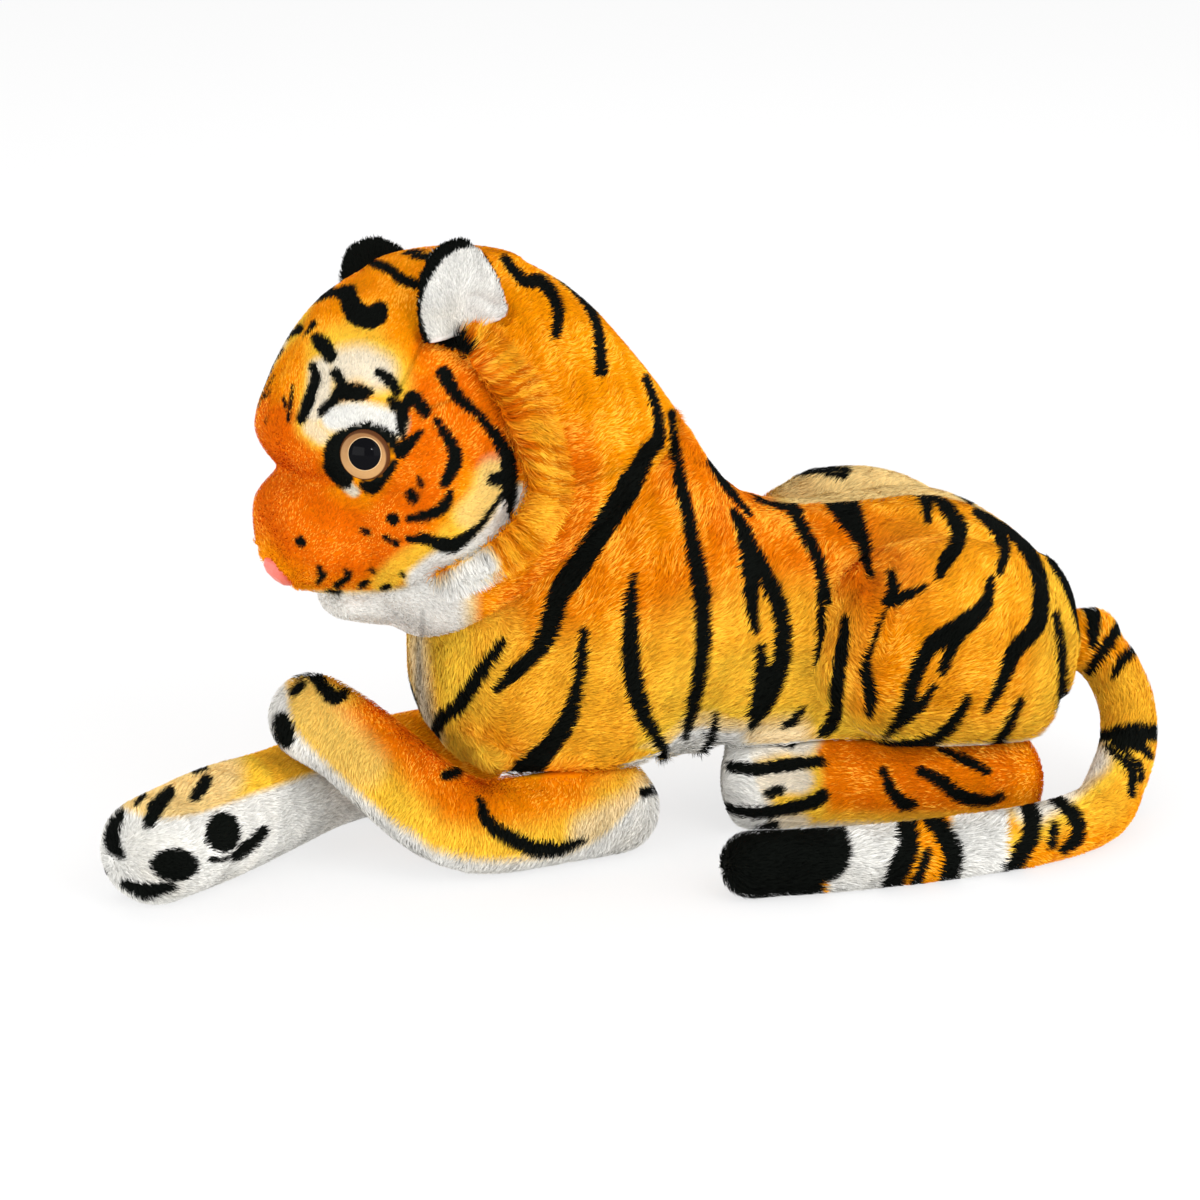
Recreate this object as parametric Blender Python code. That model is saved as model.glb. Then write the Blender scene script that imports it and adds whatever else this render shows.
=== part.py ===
"""Stuffed tiger lying down: sewn plush body, head, legs, tail and ears, with plastic eyes and nose.

The tiger faces -X, its left side is -Y, and it lies on the plane Z = 0. Every sewn form is a
loft of rounded sections. The seams where it bends are planes, balls and beads, so that each
limb turns on its own axis without entering its neighbour.
"""

import math

import bmesh
import bpy
from mathutils import Matrix, Vector

# Clearances

SEAM_GAP = 0.0003
CUT_OVERRUN = 0.020

# The power of a round section

ROUND = (2, 2)

# Body

BODY_LENGTH = 0.282
BODY_WIDTH = 0.120
SPINE_HEIGHT = 0.130
BODY_SIDES = 28
BODY_RINGS = 26

# Each station of the body: place along its length, top, underside, half width.
BODY_SHARES = (
    (0.036, 0.780, 0.335, 0.310),
    (0.068, 0.900, 0.215, 0.415),
    (0.122, 1.040, 0.130, 0.478),
    (0.195, 1.180, 0.100, 0.502),
    (0.291, 1.290, 0.110, 0.508),
    (0.355, 1.330, 0.215, 0.488),
    (0.404, 1.295, 0.225, 0.460),
    (0.455, 1.125, 0.200, 0.435),
    (0.510, 1.020, 0.200, 0.418),
    (0.592, 0.985, 0.200, 0.410),
    (0.681, 0.985, 0.200, 0.420),
    (0.770, 0.990, 0.200, 0.425),
    (0.840, 0.950, 0.205, 0.412),
    (0.905, 0.865, 0.240, 0.370),
    (0.950, 0.770, 0.290, 0.305),
)
BODY_SQUARENESS = 2.2
BODY_UNDER_SQUARENESS = 3.2
BODY_FRONT_DOME = 0.006
BODY_BACK_DOME = 0.014
WAIST_FRONT_SHARE = 0.348
WAIST_BACK_SHARE = 0.420

# Neck seam

NECK_ALONG_SHARE = 0.188
NECK_HEIGHT = 0.125
NECK_TILT = math.radians(36)

# Head, measured from the middle of the neck seam

HEAD_TURN = math.radians(13)
HEAD_LENGTH = 0.170
HEAD_WIDTH = 0.122
HEAD_TOP = 0.241
HEAD_SIDES = 28
HEAD_RINGS = 22

# Each level of the head: height above the floor, back edge, front edge, half width.
HEAD_SHARES = (
    (0.350, -0.020, 0.300, 0.250),
    (0.390, -0.160, 0.400, 0.370),
    (0.440, -0.240, 0.470, 0.440),
    (0.510, -0.280, 0.535, 0.485),
    (0.580, -0.310, 0.585, 0.500),
    (0.640, -0.345, 0.612, 0.498),
    (0.695, -0.362, 0.672, 0.484),
    (0.740, -0.325, 0.688, 0.462),
    (0.790, -0.270, 0.660, 0.443),
    (0.845, -0.205, 0.622, 0.410),
    (0.895, -0.140, 0.572, 0.360),
    (0.940, -0.065, 0.510, 0.285),
    (0.975, 0.020, 0.420, 0.195),
)
HEAD_DOME = 0.0075
HEAD_SQUARENESS = 2.1

# Muzzle and chin, in front of the head

MUZZLE_WIDTH = 0.064
MUZZLE_HEIGHT = 0.055
MUZZLE_SIDES = 20
MUZZLE_DOME = 0.005

# Each station of the muzzle: place along the head, level, half width, rise, drop.
MUZZLE_SHARES = (
    (0.340, 0.560, 0.380, 0.330, 0.330),
    (0.450, 0.562, 0.480, 0.450, 0.460),
    (0.540, 0.566, 0.500, 0.500, 0.500),
    (0.605, 0.570, 0.470, 0.450, 0.470),
    (0.655, 0.574, 0.360, 0.310, 0.350),
)

CHIN_WIDTH = 0.042
CHIN_HEIGHT = 0.020
CHIN_SIDES = 16
CHIN_DOME = 0.007

# Each station of the chin: place along the head, level, half width, half height.
CHIN_SHARES = (
    (0.300, 0.424, 0.400, 0.420),
    (0.400, 0.426, 0.500, 0.500),
    (0.500, 0.438, 0.440, 0.440),
)

# Cheek ruff, one on each side

RUFF_DEPTH = 0.0145
RUFF_THICKNESS = 0.009
RUFF_SIDES = 10
RUFF_RINGS = 16

# Each station of the ruff: place along the head, place across, height, depth.
RUFF_SHARES = (
    (0.295, 0.360, 0.884, 1.100),
    (0.235, 0.425, 0.815, 1.300),
    (0.170, 0.495, 0.700, 1.050),
    (0.175, 0.512, 0.630, 0.900),
    (0.258, 0.490, 0.565, 0.850),
    (0.365, 0.410, 0.518, 0.600),
)
RUFF_LEAN = math.radians(40)

# Ears

EAR_WIDTH = 0.040
EAR_HEIGHT = 0.0295
EAR_THICKNESS = 0.0076
EAR_SIDES = 20
EAR_FOLD = math.radians(12)

# The left ear stands up and the right one leans out. Each has the place of its bead along,
# across and up the head, the way that the bead runs and the way that the ear rises.
LEFT_EAR_SHARES = ((0.276, 0.311, 0.913), (0.979, 0.079, -0.186), (0.10, -0.05, 1.00))
RIGHT_EAR_SHARES = ((0.250, 0.335, 0.893), (0.90, 0.16, -0.30), (0.20, 0.80, 0.60))

# Each level of the ear above its bead: height, half width, half thickness.
EAR_SHARES = (
    (0.000, 0.480, 0.500),
    (0.250, 0.490, 0.480),
    (0.500, 0.460, 0.450),
    (0.720, 0.405, 0.410),
    (0.880, 0.340, 0.360),
    (1.000, 0.265, 0.300),
)
EAR_DOME = 0.0042

# Plastic eyes and nose, each with a stem and a washer behind the cloth

EYE_DIAMETER = 0.0200
EYE_HEIGHT = 0.0062
EYE_SEAT = 0.0022
EYE_ALONG_SHARE = 0.541
EYE_ACROSS_SHARE = 0.344
EYE_LEVEL_SHARE = 0.722
EYE_OUTWARD = math.radians(50)
EYE_SIDES = 24
NOSE_WIDTH = 0.0240
NOSE_HEIGHT = 0.0150
NOSE_DEPTH = 0.0060
NOSE_WRAP = 0.0020
NOSE_LEVEL_SHARE = 0.502
NOSE_ALONG_SHARE = 0.634
NOSE_DROOP = math.radians(48)
NOSE_TAPER_SHARE = 0.36
NOSE_SIDES = 24

# Each ring of the nose: its level in the nose's depth, and its size.
NOSE_RING_SHARES = ((0, 1), (0.35, 1), (0.70, 0.86), (0.92, 0.55))

STEM_DIAMETER = 0.0045
STEM_LENGTH = 0.0130
STEM_SIDES = 12
WASHER_DIAMETER = 0.0160
WASHER_THICKNESS = 0.0020
WASHER_DEPTH = 0.0060

# Haunches

HAUNCH_LENGTH = 0.106
HAUNCH_HEIGHT = 0.094
HAUNCH_THICKNESS = 0.062
HAUNCH_ACROSS_SHARE = 0.385

# Where the middle of each haunch lies: along the body and up to the spine.
LEFT_HAUNCH_SHARES = (0.742, 0.585)
RIGHT_HAUNCH_SHARES = (0.705, 0.620)
HAUNCH_SIDES = 22
HAUNCH_RINGS = 14

# Each station of the haunch: place along it, rise, drop, half thickness.
HAUNCH_SHARES = (
    (-0.450, 0.270, 0.200, 0.230),
    (-0.340, 0.410, 0.330, 0.350),
    (-0.180, 0.485, 0.420, 0.450),
    (0.020, 0.500, 0.480, 0.500),
    (0.200, 0.460, 0.500, 0.490),
    (0.350, 0.370, 0.480, 0.400),
    (0.450, 0.240, 0.400, 0.260),
)
HAUNCH_DOME = 0.006

# Legs

LEG_THICKNESS = 0.0400
LEG_TOP_SHARE = 0.950
LEG_SIDES = 16
LEG_RINGS = 15
HIND_LEG_DOME = 0.011
FRONT_LEG_DOME = 0.018

# Each station of a leg: along the body, across it, height and half width in leg thicknesses,
# half height in leg thicknesses.
LEFT_HIND_LEG_SHARES = (
    (0.865, 0.392, 0.466, 0.480, 0.484),
    (0.780, 0.385, 0.466, 0.480, 0.484),
    (0.681, 0.342, 0.466, 0.460, 0.482),
    (0.592, 0.292, 0.480, 0.475, 0.497),
    (0.528, 0.262, 0.510, 0.515, 0.530),
    (0.478, 0.247, 0.510, 0.500, 0.525),
)
RIGHT_HIND_LEG_SHARES = (
    (0.865, 0.392, 0.466, 0.480, 0.484),
    (0.800, 0.388, 0.466, 0.480, 0.484),
    (0.735, 0.368, 0.466, 0.470, 0.484),
    (0.670, 0.338, 0.466, 0.480, 0.484),
    (0.615, 0.312, 0.466, 0.500, 0.484),
    (0.575, 0.298, 0.466, 0.490, 0.480),
)
LEFT_FRONT_LEG_SHARES = (
    (0.273, -0.375, 0.466, 0.475, 0.484),
    (0.170, -0.433, 0.466, 0.490, 0.484),
    (0.071, -0.475, 0.466, 0.500, 0.484),
    (0.007, -0.458, 0.660, 0.500, 0.500),
    (-0.046, -0.392, 0.950, 0.480, 0.490),
    (-0.099, -0.283, 1.280, 0.465, 0.470),
    (-0.150, -0.210, 1.495, 0.470, 0.472),
)
RIGHT_FRONT_LEG_SHARES = (
    (0.121, 0.367, 0.466, 0.475, 0.484),
    (0.007, 0.283, 0.466, 0.490, 0.484),
    (-0.096, 0.167, 0.466, 0.490, 0.484),
    (-0.199, -0.075, 0.500, 0.510, 0.515),
    (-0.295, -0.300, 0.550, 0.540, 0.562),
    (-0.398, -0.490, 0.515, 0.545, 0.527),
)

# Tail

TAIL_THICKNESS = 0.0260
TAIL_SIDES = 12
TAIL_RINGS = 30
TAIL_ROOT_BALL = 0.0140
TAIL_DOME = 0.012

# Each station of the tail: along the body, across it, height and radius in tail thicknesses.
TAIL_SHARES = (
    (1.030, 0.000, 2.310, 0.462),
    (1.055, -0.083, 1.920, 0.455),
    (1.062, -0.190, 1.460, 0.455),
    (1.047, -0.310, 1.010, 0.465),
    (1.008, -0.455, 0.640, 0.475),
    (0.948, -0.665, 0.466, 0.485),
    (0.838, -0.820, 0.466, 0.485),
    (0.690, -0.893, 0.470, 0.490),
    (0.550, -0.920, 0.480, 0.500),
    (0.405, -0.910, 0.500, 0.520),
)


# Materials

def material(name, colour, roughness):
    """A plain finish of one colour."""
    finish = bpy.data.materials.new(name)
    finish.use_nodes = True
    shader = finish.node_tree.nodes["Principled BSDF"]
    shader.inputs["Base Color"].default_value = (*colour, 1)
    shader.inputs["Roughness"].default_value = roughness
    shader.inputs["Metallic"].default_value = 0
    return finish


# Basic shapes

def curve_through(rows, count):
    """Rows of numbers read at even steps along a smooth curve through the given rows."""
    last = len(rows) - 1
    read = []
    for step in range(count):
        place = last * step / (count - 1)
        index = min(int(place), last - 1)
        part = place - index
        before, start, end, after = (
            rows[max(index - 1, 0)],
            rows[index],
            rows[index + 1],
            rows[min(index + 2, last)],
        )
        row = []
        for a, b, c, d in zip(before, start, end, after):
            bend = (2 * a - 5 * b + 4 * c - d) * part**2
            twist = (3 * b - a - 3 * c + d) * part**3
            row.append((2 * b + (c - a) * part + bend + twist) / 2)
        read.append(tuple(row))
    return read


def section(centre, side, rise, half, up, down, squareness, count):
    """Points of a rounded section whose upper and lower halves may differ in reach and form."""
    points = []
    for step in range(count):
        angle = 2 * math.pi * step / count
        across, above = math.cos(angle), math.sin(angle)
        reach, power = (up, squareness[0]) if above > 0 else (down, squareness[1])
        x = math.copysign(abs(across) ** (2 / power), across) * half
        y = math.copysign(abs(above) ** (2 / power), above) * reach
        points.append(centre + side * x + rise * y)
    return points


def skin(sections, poles):
    """A closed mesh over the sections, with a pole at each end."""
    mesh = bmesh.new()
    rings = [[mesh.verts.new(point) for point in ring] for ring in sections]
    for first, second in zip(rings, rings[1:]):
        for index in range(len(first)):
            after = (index + 1) % len(first)
            mesh.faces.new((first[index], first[after], second[after], second[index]))
    for ring, pole in ((rings[0], poles[0]), (rings[-1], poles[1])):
        tip = mesh.verts.new(pole)
        for index in range(len(ring)):
            mesh.faces.new((ring[index], ring[(index + 1) % len(ring)], tip))
    bmesh.ops.recalc_face_normals(mesh, faces=mesh.faces)
    return mesh


def loft(name, stations, domes, sides, squareness, frame, finish):
    """A stuffed form: its stations hold centre, half width, rise and drop, and its ends are domes.

    The frame gives the side and rise directions at a station from its place in the list.
    """
    dome_steps = 4
    rings = []
    ends = []
    for end, dome in ((0, domes[0]), (-1, domes[1])):
        centre, half, up, down = stations[end]
        neighbour = stations[1][0] if end == 0 else stations[-2][0]
        outward = (centre - neighbour).normalized()
        side, rise = frame(0 if end == 0 else len(stations) - 1)
        outward = outward - side * outward.dot(side) - rise * outward.dot(rise)
        outward.normalize()
        caps = []
        for step in range(1, dome_steps):
            angle = math.pi / 2 * step / dome_steps
            size = math.cos(angle)
            middle = centre + outward * dome * math.sin(angle)
            caps.append(
                section(middle, side, rise, half * size, up * size, down * size, squareness, sides)
            )
        ends.append((caps, centre + outward * dome))
    rings.extend(reversed(ends[0][0]))
    for index, (centre, half, up, down) in enumerate(stations):
        side, rise = frame(index)
        rings.append(section(centre, side, rise, half, up, down, squareness, sides))
    rings.extend(ends[1][0])
    return solid(name, skin(rings, (ends[0][1], ends[1][1])), finish)


def solid(name, mesh, finish):
    """An object that holds the mesh."""
    data = bpy.data.meshes.new(name)
    mesh.to_mesh(data)
    mesh.free()
    piece = bpy.data.objects.new(name, data)
    bpy.context.scene.collection.objects.link(piece)
    if finish:
        data.materials.append(finish)
    data.shade_smooth()
    return piece


def along_path(stations):
    """Section directions square to the path, with the rise as near to upright as it can be."""
    centres = [station[0] for station in stations]

    def frame(index):
        before = centres[max(index - 1, 0)]
        after = centres[min(index + 1, len(centres) - 1)]
        direction = (after - before).normalized()
        side = direction.cross(Vector((0, 0, 1))).normalized()
        return side, side.cross(direction).normalized()

    return frame


def turned(name, profile, place, finish, sides):
    """A solid turned from (radius, height) points about the Z axis of the place."""
    mesh = bmesh.new()
    rings = []
    for radius, height in profile:
        ring = []
        for step in range(sides):
            angle = 2 * math.pi * step / sides
            point = Vector((radius * math.cos(angle), radius * math.sin(angle), height))
            ring.append(mesh.verts.new(place @ point))
        rings.append(ring)
    for first, second in zip(rings, rings[1:]):
        for index in range(sides):
            after = (index + 1) % sides
            mesh.faces.new((first[index], first[after], second[after], second[index]))
    mesh.faces.new(rings[0])
    mesh.faces.new(rings[-1])
    bmesh.ops.recalc_face_normals(mesh, faces=mesh.faces)
    return solid(name, mesh, finish)


def box(low, high, place):
    """A block between two corners, in the axes of the place."""
    mesh = bmesh.new()
    bmesh.ops.create_cube(mesh, size=1)
    low, high = Vector(low), Vector(high)
    for vertex in mesh.verts:
        share = vertex.co + Vector((0.5, 0.5, 0.5))
        vertex.co = place @ Vector([a + (b - a) * s for a, b, s in zip(low, high, share)])
    bmesh.ops.recalc_face_normals(mesh, faces=mesh.faces)
    return solid("cutter", mesh, None)


# Fits between pieces

def evaluated(piece):
    """The piece's mesh with its modifiers made real."""
    graph = bpy.context.evaluated_depsgraph_get()
    return bpy.data.meshes.new_from_object(piece.evaluated_get(graph))


def combine(piece, other, operation):
    """The piece joined with or cut by another, made real."""
    change = piece.modifiers.new("fit", "BOOLEAN")
    change.operation = operation
    change.solver = "EXACT"
    change.object = other
    piece.data = evaluated(piece)
    piece.modifiers.clear()


def cut(piece, *cutters):
    """Takes the cutters out of the piece."""
    for cutter in cutters:
        combine(piece, cutter, "DIFFERENCE")
    for cutter in cutters:
        bpy.data.objects.remove(cutter)


def swollen(piece, gap=SEAM_GAP):
    """A copy of the piece grown outward by the gap."""
    mesh = bmesh.new()
    mesh.from_mesh(piece.data)
    bmesh.ops.remove_doubles(mesh, verts=mesh.verts, dist=gap / 10)
    mesh.normal_update()
    for vertex in mesh.verts:
        vertex.co += vertex.normal * gap * vertex.calc_shell_factor()
    return solid("cutter", mesh, None)


def fit(piece, *larger):
    """Cuts the piece where larger neighbours lie, leaving the seam gap."""
    cut(piece, *[swollen(neighbour) for neighbour in larger])


def below(place, reach):
    """A block that fills everything under the place's XY plane."""
    return box((-reach, -reach, -reach), (reach, reach, 0), place)


def rest_on_floor(piece):
    """Cuts the piece flat where it would sink into the floor."""
    cut(piece, below(Matrix(), BODY_LENGTH * 2))


# Body

def along(share):
    return share * BODY_LENGTH


def across(share):
    return share * BODY_WIDTH


NECK_CENTRE = Vector((along(NECK_ALONG_SHARE), 0, NECK_HEIGHT))
NECK_AXIS = Vector((-math.sin(NECK_TILT), 0, math.cos(NECK_TILT)))
NECK_PLACE = Matrix.Translation(NECK_CENTRE) @ Matrix.Rotation(-NECK_TILT, 4, "Y")
LEG_TOP = LEG_TOP_SHARE * LEG_THICKNESS


def make_body(finish):
    """The trunk, flat under the neck seam and where it lies on the legs."""
    rows = curve_through(BODY_SHARES, BODY_RINGS)
    stations = []
    for place, top, underside, half in rows:
        middle = (top + underside) / 2 * SPINE_HEIGHT
        reach = (top - underside) / 2 * SPINE_HEIGHT
        stations.append((Vector((along(place), 0, middle)), across(half), reach, reach))
    directions = Vector((0, 1, 0)), Vector((0, 0, 1))
    domes = BODY_FRONT_DOME, BODY_BACK_DOME
    forms = BODY_SQUARENESS, BODY_UNDER_SQUARENESS
    body = loft("body", stations, domes, BODY_SIDES, forms, lambda index: directions, finish)
    over_seam = Matrix.Translation(-NECK_AXIS * SEAM_GAP / 2) @ NECK_PLACE
    reach = BODY_LENGTH
    cut(body, box((-reach, -reach, 0), (reach, reach, reach), over_seam))
    floor = -CUT_OVERRUN
    lying = LEG_TOP + SEAM_GAP
    cut(
        body,
        box((-reach, -reach, floor), (along(WAIST_FRONT_SHARE), reach, lying), Matrix()),
        box((along(WAIST_BACK_SHARE), -reach, floor), (2 * reach, reach, lying), Matrix()),
    )
    return body


# Legs and haunches

def make_haunch(name, shares, side, body, finish):
    """The thigh, a flattened egg sewn to the side of the body."""
    place, level = shares
    centre = Vector(
        (along(place), side * across(HAUNCH_ACROSS_SHARE), level * SPINE_HEIGHT)
    )
    stations = []
    for place, up, down, half in curve_through(HAUNCH_SHARES, HAUNCH_RINGS):
        middle = centre + Vector((place * HAUNCH_LENGTH, 0, 0))
        stations.append(
            (middle, half * HAUNCH_THICKNESS, up * HAUNCH_HEIGHT, down * HAUNCH_HEIGHT)
        )
    directions = Vector((0, 1, 0)), Vector((0, 0, 1))
    domes = HAUNCH_DOME, HAUNCH_DOME
    haunch = loft(name, stations, domes, HAUNCH_SIDES, ROUND, lambda index: directions, finish)
    cut(haunch, below(Matrix.Translation((0, 0, LEG_TOP + SEAM_GAP)), BODY_LENGTH * 2))
    fit(haunch, body)
    return haunch


def make_leg(name, shares, side, dome, finish):
    """A leg and its paw as one stuffed tube, flat where it rests on the floor."""
    stations = []
    for place, apart, level, half, reach in curve_through(shares, LEG_RINGS):
        centre = Vector((along(place), side * across(apart), level * LEG_THICKNESS))
        height = reach * LEG_THICKNESS
        stations.append((centre, half * LEG_THICKNESS, height, height))
    leg = loft(name, stations, (dome, dome), LEG_SIDES, ROUND, along_path(stations), finish)
    rest_on_floor(leg)
    return leg


def pivot_of(shares, side):
    """The upright axis through the rounded root of a leg."""
    place, apart, level = shares[0][:3]
    return Vector((along(place), side * across(apart), level * LEG_THICKNESS))


# Tail

def make_tail(body, finish):
    """The tail, with a ball at its root that turns in a shallow dish in the rump."""
    stations = []
    for place, apart, level, radius in curve_through(TAIL_SHARES, TAIL_RINGS):
        centre = Vector((along(place), across(apart), level * TAIL_THICKNESS))
        size = radius * TAIL_THICKNESS
        stations.append((centre, size, size, size))
    domes = TAIL_ROOT_BALL / 2, TAIL_DOME
    tail = loft("tail", stations, domes, TAIL_SIDES, ROUND, along_path(stations), finish)
    root = stations[0][0]
    ball = make_ball("ball", root, TAIL_ROOT_BALL, finish)
    combine(tail, ball, "UNION")
    bpy.data.objects.remove(ball)
    rest_on_floor(tail)
    cut(body, make_ball("cutter", root, TAIL_ROOT_BALL + SEAM_GAP, None))
    return tail, root


def make_ball(name, centre, radius, finish):
    """A faceted ball with poles on an upright axis."""
    steps = 9
    profile = []
    for step in range(1, steps):
        angle = math.pi * step / steps
        profile.append((radius * math.sin(angle), -radius * math.cos(angle)))
    return turned(name, profile, Matrix.Translation(centre), finish, 18)


# Head

FORWARD = Vector((-math.cos(HEAD_TURN), -math.sin(HEAD_TURN), 0))
LEFTWARD = Vector((math.sin(HEAD_TURN), -math.cos(HEAD_TURN), 0))
UPWARD = Vector((0, 0, 1))


def in_head(forward, left, level):
    """A point from its distances ahead and to the left of the neck, and its height."""
    base = Vector((NECK_CENTRE.x, NECK_CENTRE.y, 0))
    return base + FORWARD * forward + LEFTWARD * left + UPWARD * level


def make_head(finish):
    """The skull and cheeks, lofted upwards from the neck seam."""
    stations = []
    for level, back, front, half in curve_through(HEAD_SHARES, HEAD_RINGS):
        middle = (front + back) / 2 * HEAD_LENGTH
        reach = (front - back) / 2 * HEAD_LENGTH
        stations.append(
            (in_head(middle, 0, level * HEAD_TOP), half * HEAD_WIDTH, reach, reach)
        )
    domes = HEAD_DOME, HEAD_DOME
    head = loft(
        "head",
        stations,
        domes,
        HEAD_SIDES,
        (HEAD_SQUARENESS, HEAD_SQUARENESS),
        lambda index: (LEFTWARD, FORWARD),
        finish,
    )
    under_seam = Matrix.Translation(NECK_AXIS * SEAM_GAP / 2) @ NECK_PLACE
    cut(head, below(under_seam, BODY_LENGTH))
    return head


def make_muzzle(head, finish):
    """The muzzle, sewn to the front of the head."""
    stations = []
    for place, level, half, up, down in curve_through(MUZZLE_SHARES, 9):
        centre = in_head(place * HEAD_LENGTH, 0, level * HEAD_TOP)
        stations.append((centre, half * MUZZLE_WIDTH, up * MUZZLE_HEIGHT, down * MUZZLE_HEIGHT))
    domes = MUZZLE_DOME, MUZZLE_DOME
    muzzle = loft(
        "muzzle",
        stations,
        domes,
        MUZZLE_SIDES,
        (2.2, 2.2),
        lambda index: (LEFTWARD, UPWARD),
        finish,
    )
    fit(muzzle, head)
    return muzzle


def make_chin(head, muzzle, finish):
    """The chin, a small pad under the muzzle."""
    stations = []
    for place, level, half, reach in curve_through(CHIN_SHARES, 7):
        centre = in_head(place * HEAD_LENGTH, 0, level * HEAD_TOP)
        height = reach * CHIN_HEIGHT
        stations.append((centre, half * CHIN_WIDTH, height, height))
    domes = CHIN_DOME, CHIN_DOME
    chin = loft(
        "chin", stations, domes, CHIN_SIDES, ROUND, lambda index: (LEFTWARD, UPWARD), finish
    )
    fit(chin, head, muzzle)
    return chin


def make_ruff(name, side, head, finish):
    """The long-haired flap that stands out behind the cheek."""
    outward = LEFTWARD * side * math.cos(RUFF_LEAN) - FORWARD * math.sin(RUFF_LEAN)
    rows = curve_through(RUFF_SHARES, RUFF_RINGS)
    stations = []
    for place, apart, level, depth in rows:
        seam = in_head(place * HEAD_LENGTH, side * apart * HEAD_WIDTH, level * HEAD_TOP)
        reach = depth * RUFF_DEPTH
        stations.append((seam, RUFF_THICKNESS / 2, reach, RUFF_THICKNESS / 2))

    def frame(index):
        before = stations[max(index - 1, 0)][0]
        after = stations[min(index + 1, len(stations) - 1)][0]
        direction = (after - before).normalized()
        rise = (outward - direction * outward.dot(direction)).normalized()
        return direction.cross(rise), rise

    domes = RUFF_THICKNESS / 2, RUFF_THICKNESS / 2
    ruff = loft(name, stations, domes, RUFF_SIDES, ROUND, frame, finish)
    fit(ruff, head)
    return ruff


def ear_place(side):
    """The ear's axes: X along its bead, Z up the ear, at the middle of the bead."""
    place, *ways = LEFT_EAR_SHARES if side > 0 else RIGHT_EAR_SHARES
    ahead, out, up = place
    centre = in_head(ahead * HEAD_LENGTH, side * out * HEAD_WIDTH, up * HEAD_TOP)
    chord, rise = (
        (FORWARD * ahead + LEFTWARD * side * out + UPWARD * up).normalized()
        for ahead, out, up in ways
    )
    rise = (rise - chord * rise.dot(chord)).normalized()
    facing = rise.cross(chord)
    turn = Matrix((chord, facing, rise)).transposed().to_4x4()
    return Matrix.Translation(centre) @ turn


def make_ear(name, side, head, finish):
    """The ear: a cupped half disc on a round bead that turns in a groove in the head."""
    place = ear_place(side)
    chord, facing, rise = (column.xyz for column in place.col[:3])
    bead = EAR_THICKNESS / 2
    stations = []
    for step in range(1, 4):
        angle = math.pi / 2 * step / 4
        drop = bead * math.cos(angle)
        half = EAR_SHARES[0][1] * EAR_WIDTH - bead + bead * math.sin(angle)
        centre = place.translation - rise * drop
        stations.append((centre, half, bead * math.sin(angle), bead * math.sin(angle)))
    for level, half, thick in curve_through(EAR_SHARES, 8):
        centre = place.translation + rise * level * EAR_HEIGHT
        depth = thick * EAR_THICKNESS
        stations.append((centre, half * EAR_WIDTH, depth, depth))
    domes = bead * (1 - math.cos(math.pi / 8)), EAR_DOME
    ear = loft(name, stations, domes, EAR_SIDES, ROUND, lambda index: (chord, facing), finish)
    cut(head, ear_groove(place))
    return ear, place


def ear_groove(place):
    """The round-bottomed groove that the ear's bead turns in, open as far as the ear folds."""
    radius = EAR_THICKNESS / 2 + SEAM_GAP
    back, front = math.pi + EAR_FOLD, -EAR_FOLD
    steps = 10
    outline = []
    for step in range(steps + 1):
        angle = back + (2 * math.pi + front - back) * step / steps
        outline.append((radius * math.cos(angle), radius * math.sin(angle)))
    reach = EAR_HEIGHT
    end, start = outline[-1], outline[0]
    aside, upright = reach * math.sin(EAR_FOLD), reach * math.cos(EAR_FOLD)
    outline.append((end[0] + aside, end[1] + upright))
    outline.append((start[0] - aside, start[1] + upright))
    mesh = bmesh.new()
    ends = []
    end_place = EAR_WIDTH / 2 + SEAM_GAP
    for x in (-end_place, end_place):
        ends.append([mesh.verts.new(place @ Vector((x, y, z))) for y, z in outline])
    count = len(outline)
    for index in range(count):
        after = (index + 1) % count
        mesh.faces.new((ends[0][index], ends[0][after], ends[1][after], ends[1][index]))
    mesh.faces.new(ends[0])
    mesh.faces.new(ends[1])
    bmesh.ops.recalc_face_normals(mesh, faces=mesh.faces)
    return solid("cutter", mesh, None)


# Plastic eyes and nose

def stem_profile(gap):
    """The stem from its tip up to the back of the plastic, as (radius, height)."""
    radius = STEM_DIAMETER / 2 + gap
    return [(radius, -STEM_LENGTH - gap), (radius, 0)]


def washer_profile(gap):
    """The washer's outside, as (radius, height)."""
    radius = WASHER_DIAMETER / 2 + gap
    top = -WASHER_DEPTH + gap
    return [(radius, top - WASHER_THICKNESS - 2 * gap), (radius, top)]


def make_washer(name, place, finish):
    """A ring pressed on the stem behind the cloth."""
    washer = turned(name, washer_profile(0), place, finish, EYE_SIDES)
    hole = STEM_DIAMETER / 2 + SEAM_GAP
    reach = WASHER_THICKNESS
    top = -WASHER_DEPTH
    profile = [(hole, top - 2 * reach), (hole, top + reach)]
    cut(washer, turned("cutter", profile, place, None, STEM_SIDES))
    return washer


def seat(piece, plastic, place):
    """Cuts the hollow for the plastic piece, its stem and its washer."""
    cut(piece, swollen(plastic))
    cut(piece, turned("cutter", washer_profile(SEAM_GAP), place, None, EYE_SIDES))


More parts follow.
